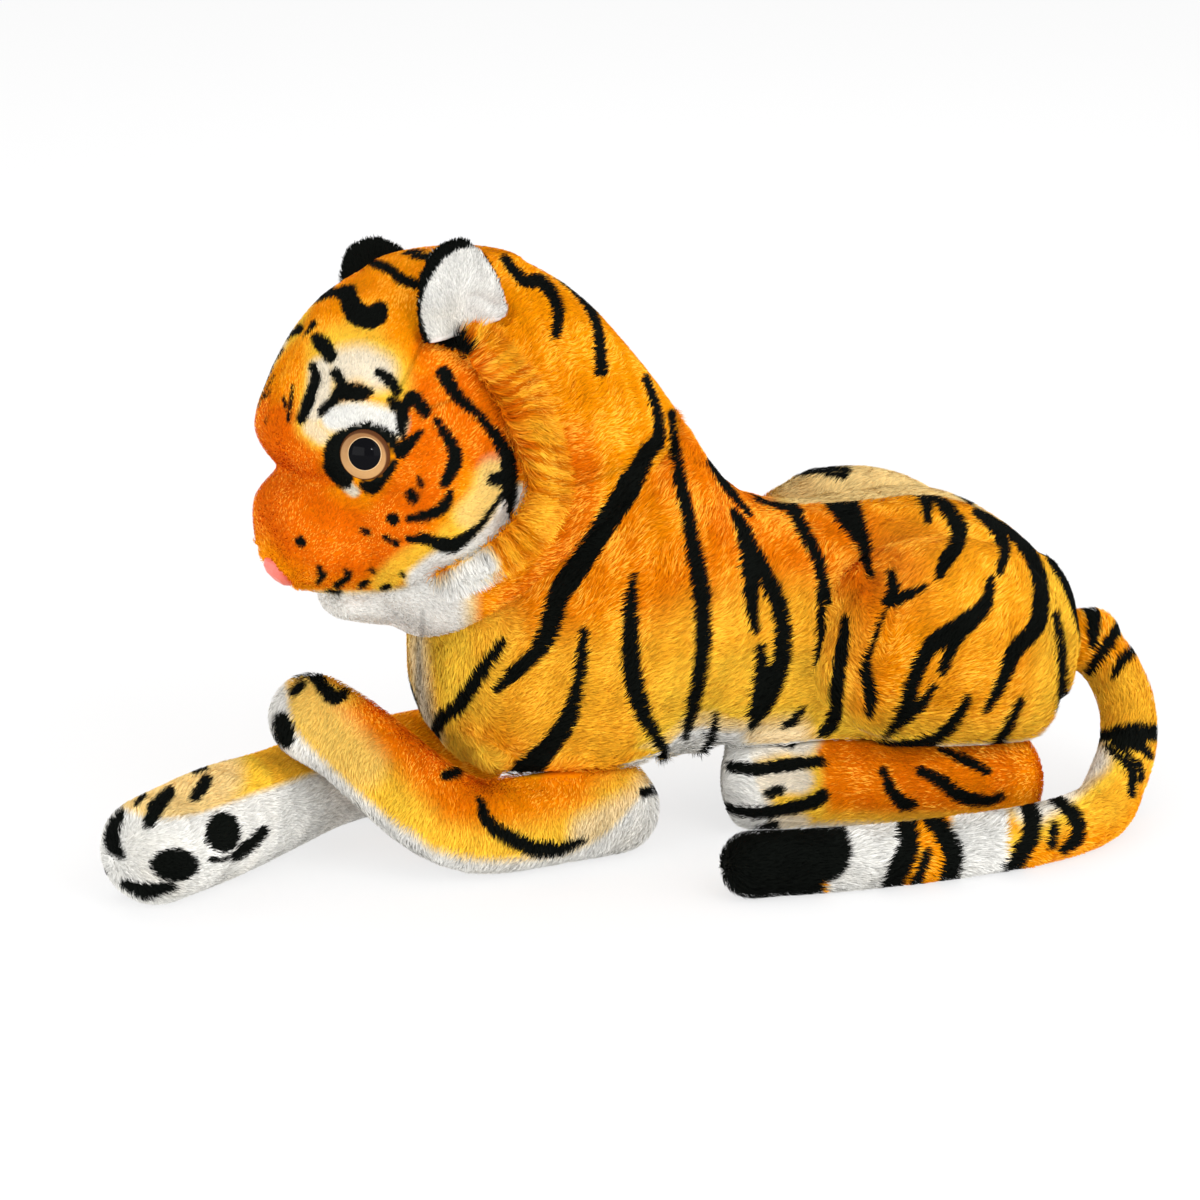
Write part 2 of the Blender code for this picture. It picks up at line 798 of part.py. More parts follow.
def make_eye(name, side, finish):
    """A domed plastic eye with its stem."""
    centre = in_head(
        EYE_ALONG_SHARE * HEAD_LENGTH,
        side * EYE_ACROSS_SHARE * HEAD_WIDTH,
        EYE_LEVEL_SHARE * HEAD_TOP,
    )
    facing = FORWARD * math.cos(EYE_OUTWARD) + LEFTWARD * side * math.sin(EYE_OUTWARD)
    turn = facing.to_track_quat("Z", "Y").to_matrix().to_4x4()
    place = Matrix.Translation(centre - facing * EYE_SEAT) @ turn
    radius = EYE_DIAMETER / 2
    profile = stem_profile(0) + [(radius, 0), (radius, EYE_SEAT)]
    steps = 6
    for step in range(1, steps):
        angle = math.pi / 2 * step / steps
        profile.append((radius * math.cos(angle), EYE_SEAT + EYE_HEIGHT * math.sin(angle)))
    eye = turned(name, profile, place, finish, EYE_SIDES)
    return eye, place


def make_nose(muzzle, finish):
    """A plastic nose, a rounded triangle with its point downwards."""
    centre = in_head(NOSE_ALONG_SHARE * HEAD_LENGTH, 0, NOSE_LEVEL_SHARE * HEAD_TOP)
    facing = FORWARD * math.cos(NOSE_DROOP) - UPWARD * math.sin(NOSE_DROOP)
    rise = UPWARD * math.cos(NOSE_DROOP) + FORWARD * math.sin(NOSE_DROOP)
    place = Matrix.Translation(centre) @ Matrix((LEFTWARD, rise, facing)).transposed().to_4x4()
    sections = []
    for depth, size in NOSE_RING_SHARES:
        ring = []
        for step in range(NOSE_SIDES):
            angle = 2 * math.pi * step / NOSE_SIDES
            up = math.sin(angle) * size
            out = math.cos(angle) * size * (1 - NOSE_TAPER_SHARE * (1 - up))
            point = Vector(
                (
                    out * NOSE_WIDTH / 2,
                    up * NOSE_HEIGHT / 2,
                    depth * NOSE_DEPTH - out**2 * NOSE_WRAP,
                )
            )
            ring.append(place @ point)
        sections.append(ring)
    poles = place @ Vector((0, 0, 0)), place @ Vector((0, 0, NOSE_DEPTH))
    nose = solid("nose", skin(sections, poles), finish)
    overlap = NOSE_DEPTH / 4
    radius = STEM_DIAMETER / 2
    stem = turned(
        "stem", [(radius, -STEM_LENGTH), (radius, overlap)], place, None, STEM_SIDES
    )
    combine(nose, stem, "UNION")
    bpy.data.objects.remove(stem)
    return nose, place


# Assembly

def hang(piece, parent, pivot):
    """Moves the piece's origin to its pivot and parents it, leaving its shape in place."""
    piece.data.transform(Matrix.Translation(-pivot))
    piece.location = pivot - (Vector(parent["pivot"]) if parent else Vector())
    piece["pivot"] = pivot
    piece.parent = parent


def main():
    for old in list(bpy.data.objects):
        bpy.data.objects.remove(old)

    orange = material("orange plush", (0.78, 0.27, 0.03), 0.95)
    cream = material("cream plush", (0.86, 0.80, 0.70), 0.95)
    striped = material("striped plush", (0.62, 0.24, 0.05), 0.95)
    black = material("black plush", (0.03, 0.03, 0.03), 0.95)
    amber = material("amber plastic", (0.30, 0.14, 0.03), 0.08)
    coral = material("coral plastic", (0.80, 0.13, 0.08), 0.35)
    clear = material("white plastic", (0.80, 0.80, 0.78), 0.45)

    body = make_body(orange)
    tail, tail_root = make_tail(body, striped)
    head = make_head(orange)
    muzzle = make_muzzle(head, cream)
    chin = make_chin(head, muzzle, cream)
    pieces = {}
    for word, side in (("left", 1), ("right", -1)):
        pieces[f"ruff_{word}"] = make_ruff(f"ruff_{word}", side, head, cream)
    pivots = {}
    for word, side in (("left", 1), ("right", -1)):
        ear, place = make_ear(f"ear_{word}", side, head, black)
        cut(pieces[f"ruff_{word}"], ear_groove(place))
        pieces[f"ear_{word}"] = ear
        pivots[f"ear_{word}"] = place.translation.copy()
    for word, side in (("left", 1), ("right", -1)):
        name = f"eye_{word}"
        eye, place = make_eye(name, side, amber)
        seat(head, eye, place)
        pieces[name] = eye
        pieces[f"{name}_washer"] = make_washer(f"{name}_washer", place, clear)
    nose, place = make_nose(muzzle, coral)
    seat(muzzle, nose, place)
    cut(head, swollen(nose))
    pieces["nose"] = nose
    pieces["nose_washer"] = make_washer("nose_washer", place, clear)

    legs = {
        "hind_leg_left": (LEFT_HIND_LEG_SHARES, -1, HIND_LEG_DOME),
        "hind_leg_right": (RIGHT_HIND_LEG_SHARES, 1, HIND_LEG_DOME),
        "front_leg_left": (LEFT_FRONT_LEG_SHARES, 1, FRONT_LEG_DOME),
        "front_leg_right": (RIGHT_FRONT_LEG_SHARES, 1, FRONT_LEG_DOME),
    }
    haunches = [
        make_haunch("haunch_left", LEFT_HAUNCH_SHARES, -1, body, orange),
        make_haunch("haunch_right", RIGHT_HAUNCH_SHARES, 1, body, orange),
    ]
    for name, (shares, side, dome) in legs.items():
        leg = make_leg(name, shares, side, dome, orange)
        fit(leg, body)
        pieces[name] = leg
        pivots[name] = pivot_of(shares, side)

    # The middle of the toy's outline goes over the origin.
    everything = [body, tail, head, muzzle, chin, *haunches, *pieces.values()]
    corners = [piece.matrix_world @ v.co for piece in everything for v in piece.data.vertices]
    low = Vector([min(corner[i] for corner in corners) for i in range(3)])
    high = Vector([max(corner[i] for corner in corners) for i in range(3)])
    shift = Matrix.Translation((-(low.x + high.x) / 2, -(low.y + high.y) / 2, -low.z))
    for piece in everything:
        piece.data.transform(shift)

    origin = shift @ Vector()
    neck = shift @ NECK_CENTRE
    hang(body, None, origin)
    for haunch in haunches:
        hang(haunch, body, origin)
    hang(tail, body, shift @ tail_root)
    hang(head, body, neck)
    for piece in (muzzle, chin):
        hang(piece, head, neck)
    for name, piece in pieces.items():
        parent = body if name in legs else head
        hang(piece, parent, shift @ pivots[name] if name in pivots else neck)
    pivots.update(neck=NECK_CENTRE, tail=tail_root)
    for name, pivot in pivots.items():
        print(name, "turns about", shift @ pivot)
    print("the neck's axis is", NECK_AXIS)
    print("the left ear's axis is", ear_place(1).col[0].xyz)
    print("the right ear's axis is", ear_place(-1).col[0].xyz)

main()
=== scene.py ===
"""Looks of a lying stuffed tiger: plush skins, standing fur, glossy eyes and a soft light."""

import math

import bmesh
import bpy
import numpy as np
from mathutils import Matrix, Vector
from mathutils.bvhtree import BVHTree


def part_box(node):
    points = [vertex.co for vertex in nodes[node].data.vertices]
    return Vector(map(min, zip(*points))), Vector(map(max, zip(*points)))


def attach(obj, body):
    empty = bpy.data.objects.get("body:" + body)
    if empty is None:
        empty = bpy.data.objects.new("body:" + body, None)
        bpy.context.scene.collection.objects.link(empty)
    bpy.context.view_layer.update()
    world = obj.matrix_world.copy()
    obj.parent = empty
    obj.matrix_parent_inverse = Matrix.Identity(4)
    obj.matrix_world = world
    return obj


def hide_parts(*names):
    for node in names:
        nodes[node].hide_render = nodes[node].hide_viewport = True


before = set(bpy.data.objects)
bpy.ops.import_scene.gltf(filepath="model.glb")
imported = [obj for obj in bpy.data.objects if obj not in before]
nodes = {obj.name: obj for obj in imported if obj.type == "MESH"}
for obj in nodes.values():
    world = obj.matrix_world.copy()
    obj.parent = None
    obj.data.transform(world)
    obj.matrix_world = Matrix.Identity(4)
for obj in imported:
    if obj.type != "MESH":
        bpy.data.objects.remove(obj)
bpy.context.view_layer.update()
bpy.ops.object.select_all(action="DESELECT")

# The camera, which also places every printed mark

FRAME_PIXELS = 1200
AZIMUTH, ELEVATION = math.radians(-14), math.radians(16)
DISTANCE, LENS, SENSOR = 2.0, 150, 36
TARGET = np.array((-0.0125, 0.0070, 0.0967))
BACK = np.array(
    (
        math.sin(AZIMUTH) * math.cos(ELEVATION),
        -math.cos(AZIMUTH) * math.cos(ELEVATION),
        math.sin(ELEVATION),
    )
)
RIGHT = np.array((math.cos(AZIMUTH), math.sin(AZIMUTH), 0))
UP = np.cross(BACK, RIGHT)


def in_view(points):
    """Where points show in the camera's frame, in pixels from its top left."""
    away = points - (TARGET + BACK * DISTANCE)
    scale = LENS / SENSOR * FRAME_PIXELS / -(away @ BACK)
    return np.stack(
        (FRAME_PIXELS / 2 + away @ RIGHT * scale, FRAME_PIXELS / 2 - away @ UP * scale), 1
    )


# Middle planes, across which the two sides mirror each other, and the plane of the neck seam

MIDDLE = 0.0230
NECK = np.array((-0.0368, MIDDLE, 0.1250))
NECK_AXIS = np.array((-0.5878, 0, 0.8090))
HEAD_TURN = math.radians(13)
HEAD_FORWARD = np.array((-math.cos(HEAD_TURN), -math.sin(HEAD_TURN), 0))
HEAD_LEFT = np.array((math.sin(HEAD_TURN), -math.cos(HEAD_TURN), 0))
BODY_LEFT = np.array((0, -1, 0))


def near_side(points, left, vectors=None):
    """Points, or vectors at them, brought from the far side of the middle plane to the near."""
    level = (points - NECK) @ left
    moved, reach = (points, level) if vectors is None else (vectors, vectors @ left)
    return moved - np.outer(np.where(level < 0, 2 * reach, 0), left)


# Seams that both a line of painted shade and a groove follow, as lines in the frame

NECK_SEAM = ((565, 488), (600, 477), (635, 462), (665, 450))
CHEST_SEAM = ((423, 612), (423, 673), (430, 705), (438, 740))
BROW_SEAM = ((423, 342), (396, 397), (391, 402))
CHEEK_SEAM = ((427, 409), (458, 398))
WAIST_SEAM = ((886, 605), (871, 653))

# Printed marks: half widths from the mark's start to its end, then its line in the frame

NECK_STRIPES = (
    (
        (3, 4, 6.5, 9, 12, 11.5, 11.5, 10, 9, 7, 6, 3),
        (
            (643, 380), (655, 415), (655, 439), (643, 456), (623, 494), (602, 527),
            (576, 568), (558, 597), (547, 632), (535, 653), (514, 673), (497, 688),
        ),
    ),
    (
        (3, 4, 5, 6, 7.3, 8, 7.5, 6.5, 6.5, 3),
        (
            (668, 415), (673, 445), (679, 483), (687, 521), (693, 556), (699, 591),
            (701, 629), (699, 662), (693, 697), (683, 735),
        ),
    ),
)
TRUNK_STRIPES = (
    *NECK_STRIPES,
    (
        (2, 6, 7.5, 8.5, 9, 7, 5, 4),
        (
            (633, 576), (629, 603), (629, 632), (630, 665), (635, 694), (643, 717),
            (655, 738), (667, 760),
        ),
    ),
    (
        (4, 4.8, 5.5, 8, 9, 11.5, 10),
        (
            (583, 632), (580, 659), (576, 688), (567, 717), (552, 741), (538, 758),
            (520, 772),
        ),
    ),
    (
        (3.5, 5, 6, 6.5, 6, 3.5, 2),
        (
            (503, 642), (491, 659), (473, 685), (459, 706), (444, 717), (438, 732),
            (440, 744),
        ),
    ),
    ((2, 4, 4), ((714, 713), (711, 732), (702, 754))),
    ((3, 4.5), ((641, 792), (667, 785))),
    ((3.5, 3.5, 2), ((708, 464), (726, 492), (747, 516))),
    ((3, 8, 8, 6, 3), ((731, 514), (743, 538), (748, 570), (750, 605), (754, 631))),
    (
        (8, 8, 7.5, 7.5, 8, 8.5, 7, 3),
        (
            (744, 546), (760, 571), (774, 598), (781, 626), (779, 660), (771, 688),
            (760, 709), (750, 726),
        ),
    ),
    ((3.5, 7, 7, 5), ((759, 647), (760, 674), (757, 698), (752, 715))),
    (
        (5, 7, 6.5, 5.5, 5.5, 5, 3),
        (
            (758, 500), (775, 504), (791, 511), (805, 540), (816, 560), (822, 585),
            (829, 602),
        ),
    ),
    ((2, 3.5, 4, 3.5, 1.5), ((817, 578), (821, 602), (822, 626), (819, 650), (816, 664))),
    (
        (3, 5.5, 5.5, 6, 6, 3),
        ((847, 619), (843, 647), (838, 681), (836, 709), (829, 726), (821, 733)),
    ),
    ((1.5, 5, 6, 3), ((869, 650), (866, 671), (871, 695), (870, 712))),
    (
        (10, 15, 14, 10, 6, 2.5),
        ((828, 493), (838, 502), (846, 515), (855, 531), (864, 550), (871, 576)),
    ),
    ((3, 4, 3), ((896, 488), (905, 493), (913, 496))),
    ((6, 6, 3), ((919, 492), (924, 505), (927, 523))),
    (
        (3, 6, 7.5, 7.5, 6, 4),
        ((931, 500), (943, 509), (957, 529), (955, 547), (944, 564), (938, 576)),
    ),
    ((5, 8, 6, 5, 3), ((976, 514), (988, 523), (998, 536), (1002, 554), (998, 574))),
    (
        (4, 6, 6.5, 7, 7.5, 7.5, 7, 5.5, 2.5),
        (
            (988, 517), (1008, 533), (1026, 554), (1036, 578), (1038, 605), (1033, 629),
            (1012, 653), (1002, 678), (984, 710),
        ),
    ),
    (
        (2, 4, 5, 5, 4.5, 3),
        ((1039, 550), (1053, 567), (1067, 591), (1077, 622), (1084, 647), (1082, 667)),
    ),
    ((2.5, 3.5, 4, 3), ((1053, 616), (1058, 647), (1060, 681), (1057, 712))),
    (
        (3, 6, 9, 9, 8, 6.5, 6.5, 7, 2),
        (
            (989, 581), (984, 605), (967, 622), (950, 633), (933, 643), (919, 664),
            (909, 691), (902, 715), (886, 733),
        ),
    ),
    ((7, 5, 3.5), ((958, 633), (950, 650), (941, 671))),
    ((2.5, 4.5, 5.5), ((933, 686), (922, 702), (905, 715))),
    ((4, 6, 4), ((891, 576), (893, 591), (886, 604))),
    ((2, 4, 6), ((924, 588), (909, 595), (895, 600))),
    ((1.2, 1.2, 1.2), ((886, 605), (878, 626), (870, 647))),
    (
        (2.5, 5, 5.5, 4.5, 3, 2),
        ((967, 696), (957, 715), (940, 733), (919, 740), (891, 741), (860, 740)),
    ),
    ((3, 4.5, 5.5, 4), ((1019, 700), (1008, 722), (995, 743), (977, 755))),
    ((5, 5, 3), ((1020, 745), (1026, 752), (1034, 757))),
    ((2, 4.5, 3), ((940, 750), (964, 760), (988, 772))),
    ((1.5, 4, 3), ((800, 707), (793, 719), (783, 724))),
)
FAR_HAUNCH_STRIPES = (
    ((2, 3.5, 2.5), ((797, 477), (819, 473), (847, 473))),
    ((2, 3), ((826, 477), (843, 479))),
    ((3, 4), ((952, 492), (968, 503))),
    ((4, 5, 5), ((1040, 552), (1052, 572), (1060, 596))),
)
HEAD_STRIPES = (
    ((3, 5, 5, 5.5, 5), ((358, 268), (375, 264), (391, 271), (402, 280), (418, 285))),
    ((3, 4), ((414, 257), (432, 258))),
    ((7, 10, 12, 12), ((350, 291), (350, 303), (358, 314), (370, 318))),
    ((11, 11, 8), ((369, 318), (377, 315), (380, 309))),
    ((4, 5, 4), ((316, 302), (328, 291), (341, 284))),
    ((3, 3), ((339, 297), (352, 289))),
    ((5, 7, 4), ((294, 339), (303, 330), (313, 324))),
    ((6, 8.5, 7), ((317, 339), (323, 345), (330, 356))),
    ((4, 5, 6, 5), ((313, 367), (316, 380), (308, 403), (302, 419))),
    ((5, 6.5), ((336, 373), (345, 389))),
    ((7, 9, 9, 4), ((340, 393), (350, 392), (360, 393), (370, 392))),
    ((6, 5, 4.5), ((339, 396), (330, 403), (322, 412))),
    ((5, 6, 5), ((380, 373), (390, 381), (397, 391))),
    ((4.5, 7, 5), ((391, 400), (401, 412), (402, 433))),
    ((5, 7.5, 7), ((404, 410), (413, 398), (424, 411))),
    ((7, 6, 3.5), ((401, 452), (409, 443), (420, 433))),
    (
        (8, 6.5, 4.5, 5.5, 8, 8, 3),
        (
            (444, 374), (458, 397), (476, 413), (492, 432), (506, 456), (508, 488),
            (511, 518),
        ),
    ),
    ((7, 8), ((494, 480), (505, 478))),
    ((3.5, 6.5, 8, 7, 5), ((436, 420), (450, 442), (455, 456), (452, 469), (444, 484))),
    ((3.5, 6, 6, 3), ((450, 493), (444, 507), (428, 515), (408, 518))),
    (
        (3, 5.5, 8, 6.5, 3.5, 2.5, 2.5),
        (
            (408, 539), (426, 539), (447, 546), (461, 541), (479, 526), (495, 504),
            (503, 493),
        ),
    ),
    ((2.5, 3.5), ((419, 478), (421, 485))),
    ((6, 6.5), ((411, 495), (413, 497))),
    ((5.5, 6), ((392, 518), (394, 519))),
    ((3, 3), ((363, 530), (368, 532))),
    ((2.5, 3.5), ((385, 537), (396, 543))),
    ((5, 5), ((300, 541), (302, 543))),
    ((1.5, 2, 1.5), ((293, 386), (291, 404), (288, 421))),
    ((1.4, 1.8), ((284, 398), (286, 408))),
    ((3, 3.5, 2), ((283, 355), (276, 368), (270, 382))),
    ((2, 3, 2), ((272, 388), (266, 404), (265, 422))),
    (
        (4, 7, 7, 6.5, 6, 5),
        ((503, 260), (522, 282), (536, 283), (549, 295), (556, 314), (554, 335)),
    ),
    ((2, 4, 5, 6.5), ((550, 275), (578, 300), (594, 327), (599, 372))),
)
FRECKLES = (
    ((3, 4, 3), ((319, 568), (322, 575), (319, 581))),
    ((3.5, 3), ((337, 585), (348, 577))),
    ((2.5, 3), ((345, 571), (349, 574))),
    ((3.5, 2.5), ((361, 585), (368, 581))),
    ((2.5, 2.5), ((371, 570), (373, 571))),
    ((3, 3), ((383, 587), (389, 586))),
    ((2.2, 2.2), ((401, 573), (403, 575))),
    ((2, 2), ((328, 590), (341, 592))),
)
EYE_PATCH = (
    ((9, 13, 14, 9), ((346, 437), (339, 448), (337, 464), (344, 480))),
    ((8, 7.5, 7, 6), ((344, 438), (366, 430), (386, 437), (398, 451))),
    ((6, 7, 5), ((366, 484), (373, 487), (383, 478))),
    ((4, 4), ((386, 476), (394, 462))),
)
EAR_ROOT_MARK = (((11, 12, 7), ((438, 334), (453, 338), (467, 347))),)
EAR_RIM = (
    (
        (5, 5, 5, 5.5, 6, 6.5, 5.5, 4),
        (
            (424, 342), (416, 320), (416, 300), (423, 278), (437, 256), (455, 243),
            (478, 242), (500, 258),
        ),
    ),
)
LEFT_FRONT_STRIPES = (
    (
        (3, 5.5, 6.5, 7, 6, 2.5),
        ((480, 801), (486, 820), (505, 835), (532, 847), (555, 848), (583, 839)),
    ),
    ((4.5, 4), ((446, 776), (457, 773))),
    ((3.5, 5, 5.5, 7.5, 4), ((294, 676), (310, 674), (321, 686), (333, 697), (344, 695))),
    ((4, 4), ((294, 693), (302, 686))),
    ((3, 3), ((313, 670), (325, 672))),
    ((3.5, 5), ((350, 680), (365, 690))),
    ((7, 9, 8), ((283, 720), (285, 728), (287, 737))),
    ((4, 4.5), ((643, 793), (667, 786))),
)
RIGHT_FRONT_STRIPES = (
    ((3, 6, 6.5, 4), ((122, 814), (114, 831), (114, 847), (121, 855))),
    ((4.5, 7, 5), ((170, 793), (157, 808), (149, 824))),
    ((5, 5, 3.5), ((206, 782), (199, 793), (193, 799))),
    (
        (7, 7, 7, 7, 7, 7, 7),
        ((222, 820), (231, 827), (229, 840), (219, 844), (212, 836), (215, 824), (222, 820)),
    ),
    (
        (7, 7, 7, 7, 7, 7, 7),
        ((158, 864), (165, 858), (180, 857), (190, 864), (183, 871), (167, 872), (158, 864)),
    ),
    ((4, 7, 4), ((126, 883), (146, 890), (172, 886))),
    ((4.5, 5.5, 4.5), ((262, 831), (248, 845), (233, 856))),
    ((3, 3), ((221, 829), (221, 835))),
    ((3, 3), ((168, 864), (179, 864))),
    ((1.5, 1.5), ((210, 860), (225, 858))),
    ((3, 3), ((103, 870), (106, 873))),
    ((1.5, 1.5), ((145, 797), (137, 805))),
    ((1.5, 1.5), ((195, 774), (206, 770))),
)
HIND_LEG_STRIPES = (
    ((3.5, 5, 6, 3), ((883, 771), (891, 788), (903, 803), (915, 803))),
    ((4, 6, 6.5, 5, 3), ((921, 771), (940, 781), (960, 795), (984, 800), (1002, 796))),
    ((2, 4.5, 3), ((940, 750), (964, 760), (988, 772))),
    ((4.5, 5.5, 5.5, 4.5), ((733, 767), (757, 769), (788, 765), (821, 762))),
    ((3, 5, 5.5, 6, 6), ((721, 805), (754, 812), (785, 808), (812, 802), (823, 795))),
    ((4.5, 5), ((779, 741), (790, 743))),
    ((4, 4.5), ((769, 793), (780, 790))),
    ((4, 5), ((754, 831), (774, 824))),
)
TAIL_STRIPES = (
    ((6, 6, 4), ((1084, 600), (1093, 619), (1093, 645))),
    ((5, 5.5, 4), ((1120, 624), (1107, 647), (1092, 671))),
    ((4, 4.5, 2.5), ((1138, 647), (1123, 661), (1114, 678))),
    ((3, 6, 8, 8), ((1092, 739), (1108, 738), (1128, 735), (1152, 734))),
    ((4, 6, 3), ((1116, 745), (1138, 748), (1147, 757))),
    ((2, 4, 3), ((1108, 750), (1129, 771), (1129, 795))),
    ((2, 3, 2), ((1119, 748), (1136, 767), (1138, 781))),
    ((2, 5, 7.5, 7, 4), ((1036, 791), (1053, 801), (1072, 818), (1075, 836), (1062, 848))),
    ((3.5, 4.5), ((1052, 826), (1050, 843))),
    ((4, 8, 8.5, 8, 6), ((1017, 800), (1030, 815), (1029, 836), (1019, 853), (1008, 870))),
    ((9, 10, 10, 8), ((905, 815), (907, 846), (897, 870), (886, 892))),
    ((8, 9, 9, 9), ((925, 814), (943, 836), (952, 857), (943, 888))),
    ((4, 5), ((926, 853), (915, 880))),
)

# Soft tones, printed, with painted shade among the deep ones: strength, half width, softness, then
# the line

TRUNK_WHITE = (
    (0.7, 9, 20, ((404, 600), (409, 650), (415, 705), (424, 740))),
    (1, 8, 24, ((655, 800), (690, 772), (714, 754), (730, 746))),
    (0.5, 6, 26, ((730, 746), (790, 737))),
)
TRUNK_CREAM = (
    (1, 20, 34, ((436, 590), (444, 640), (448, 690))),
    (0.7, 20, 46, ((480, 640), (470, 690))),
    (0.9, 12, 20, ((438, 732), (458, 750), (488, 768))),
    (1, 12, 40, ((650, 790), (690, 755), (740, 728), (800, 728), (850, 744))),
    (0.75, 24, 60, ((690, 700), (740, 690), (800, 690))),
    (0.45, 40, 56, ((560, 700), (640, 700), (720, 660), (800, 650))),
    (0.2, 30, 60, ((930, 560), (1000, 600), (980, 690))),
    (0.75, 12, 50, ((1064, 590), (1068, 650), (1052, 720), (1000, 754), (900, 744))),
)
FAR_HAUNCH_CREAM = ((0.9, 30, 30, ((810, 474), (850, 470), (920, 482), (1000, 512))),)
TRUNK_DEEP_AND_SHADE = (
    # Painted shadow of the ruff on the neck beside it
    (0.5, 30, 60, ((600, 480), (590, 540), (550, 590))),
    (0.5, 14, 50, ((640, 590), (680, 560), (720, 580))),
    (0.8, 20, 60, ((690, 470), (740, 520), (790, 540), (880, 570))),
    (0.5, 12, 40, ((850, 620), (846, 690))),
)
HEAD_WHITE = (
    (1, 9, 11, ((335, 418), (360, 416), (392, 424))),
    (0.75, 8, 20, ((345, 366), (362, 364), (378, 372))),
    (0.75, 6, 12, ((322, 370), (320, 395), (315, 412))),
    (0.6, 4, 9, ((312, 428), (322, 436))),
    (0.8, 3, 5, ((349, 487), (354, 491))),
    (1, 13, 10, ((518, 502), (502, 532), (474, 556), (446, 566), (424, 582))),
    (0.2, 8, 14, ((470, 515), (486, 495), (494, 470))),
    (1, 12, 8, ((314, 608), (360, 608), (404, 603), (440, 586), (470, 568), (490, 550))),
)
HEAD_CREAM = (
    (1, 11, 20, ((338, 346), (362, 352), (384, 366), (390, 384))),
    (0.8, 8, 18, ((352, 336), (368, 340))),
    (0.9, 9, 15, ((322, 350), (318, 390), (312, 425))),
    (0.8, 7, 13, ((318, 436), (332, 430))),
    (1, 12, 15, ((468, 522), (486, 502), (492, 482))),
    (0.8, 7, 12, ((450, 535), (470, 528))),
    (0.9, 7, 13, ((385, 584), (400, 568), (420, 556), (445, 555))),
    (0.6, 4, 10, ((300, 330), (284, 352), (276, 372))),
)
HEAD_DEEP_AND_SHADE = (
    (1, 20, 20, ((442, 350), (468, 380), (484, 415), (498, 460))),
    (1, 20, 24, ((418, 400), (436, 440), (424, 480))),
    (1, 26, 26, ((285, 440), (290, 500), (320, 535), (350, 545))),
    (1, 18, 24, ((420, 480), (405, 510), (380, 545))),
    # Painted shadow of the ruff on the neck beside it
    (0.8, 8, 22, ((572, 440), (580, 480), (572, 530), (550, 570), (520, 600))),
    # Painted shade in the crease under the brow
    (0.9, 5, 12, ((292, 478), (312, 482), (330, 476))),
)
LEFT_FRONT_WHITE = (
    (1, 19, 10, ((264, 690), (272, 735), (292, 760), (340, 805), (395, 852))),
    (1, 24, 12, ((395, 856), (425, 876), (480, 888), (560, 882), (620, 856), (674, 800))),
    (0.12, 14, 24, ((296, 690), (325, 722), (360, 765))),
    (0.45, 10, 22, ((590, 835), (640, 808), (655, 790))),
)
LEFT_FRONT_CREAM = (
    (1, 14, 34, ((285, 680), (310, 725), (360, 780), (410, 832))),
    (0.9, 14, 34, ((420, 848), (480, 860), (560, 848), (620, 820))),
    (0.8, 20, 30, ((620, 810), (650, 790))),
    (0.7, 10, 20, ((320, 676), (345, 690))),
)
LEFT_FRONT_DEEP = ((0.65, 18, 40, ((400, 705), (430, 740), (460, 780))),)
RIGHT_FRONT_WHITE = (
    (1, 38, 12, ((110, 850), (150, 862), (200, 858), (250, 845), (300, 835), (380, 825))),
    (0.3, 30, 24, ((120, 820), (150, 795), (200, 775))),
)
RIGHT_FRONT_CREAM = (
    (1, 40, 16, ((120, 820), (160, 800), (200, 790), (230, 796))),
    (0.6, 30, 20, ((240, 775), (290, 765))),
)
HIND_LEG_WHITE = (
    (1, 30, 16, ((716, 750), (724, 790), (735, 815))),
    (0.9, 12, 14, ((735, 748), (780, 736), (800, 738))),
    (0.8, 8, 10, ((740, 778), (800, 780))),
    (0.7, 6, 10, ((750, 822), (800, 824))),
)
HIND_LEG_CREAM = (
    (1, 42, 12, ((730, 770), (775, 780))),
    (0.9, 30, 16, ((740, 815), (790, 815))),
)
HIND_LEG_DEEP = ((0.7, 24, 30, ((850, 770), (900, 780), (980, 770))),)
TAIL_WHITE = (
    (1, 36, 3, ((868, 800), (864, 900))),
    (1, 24, 8, ((980, 790), (978, 862))),
    (0.9, 12, 16, ((1030, 806), (1060, 786), (1090, 760))),
)
TAIL_CREAM = (
    (0.9, 16, 14, ((985, 860), (1000, 850))),
    (1, 16, 26, ((1040, 810), (1080, 780), (1105, 756))),
    (0.8, 10, 26, ((1088, 690), (1090, 725))),
    (0.55, 16, 24, ((1124, 690), (1130, 735), (1100, 800))),
)
TAIL_TIP = ((1, 62, 3, ((760, 800), (760, 900))), (1, 30, 2, ((800, 850), (820, 850))))
RUFF_WHITE = ((1, 9, 12, ((484, 566), (458, 588), (430, 604))),)

# Painted shade along the seams' creases, as dark lines: half widths, then the line

SEAM_SHADE_LINES = (
    ((1.2, 1.2), NECK_SEAM),
    ((1.0, 1.0), CHEST_SEAM),
    ((0.9, 0.9), BROW_SEAM),
    ((0.9, 0.9), CHEEK_SEAM),
    ((1.0, 1.0), WAIST_SEAM),
)

# Grooves: depth in metres, softness in pixels, then the line

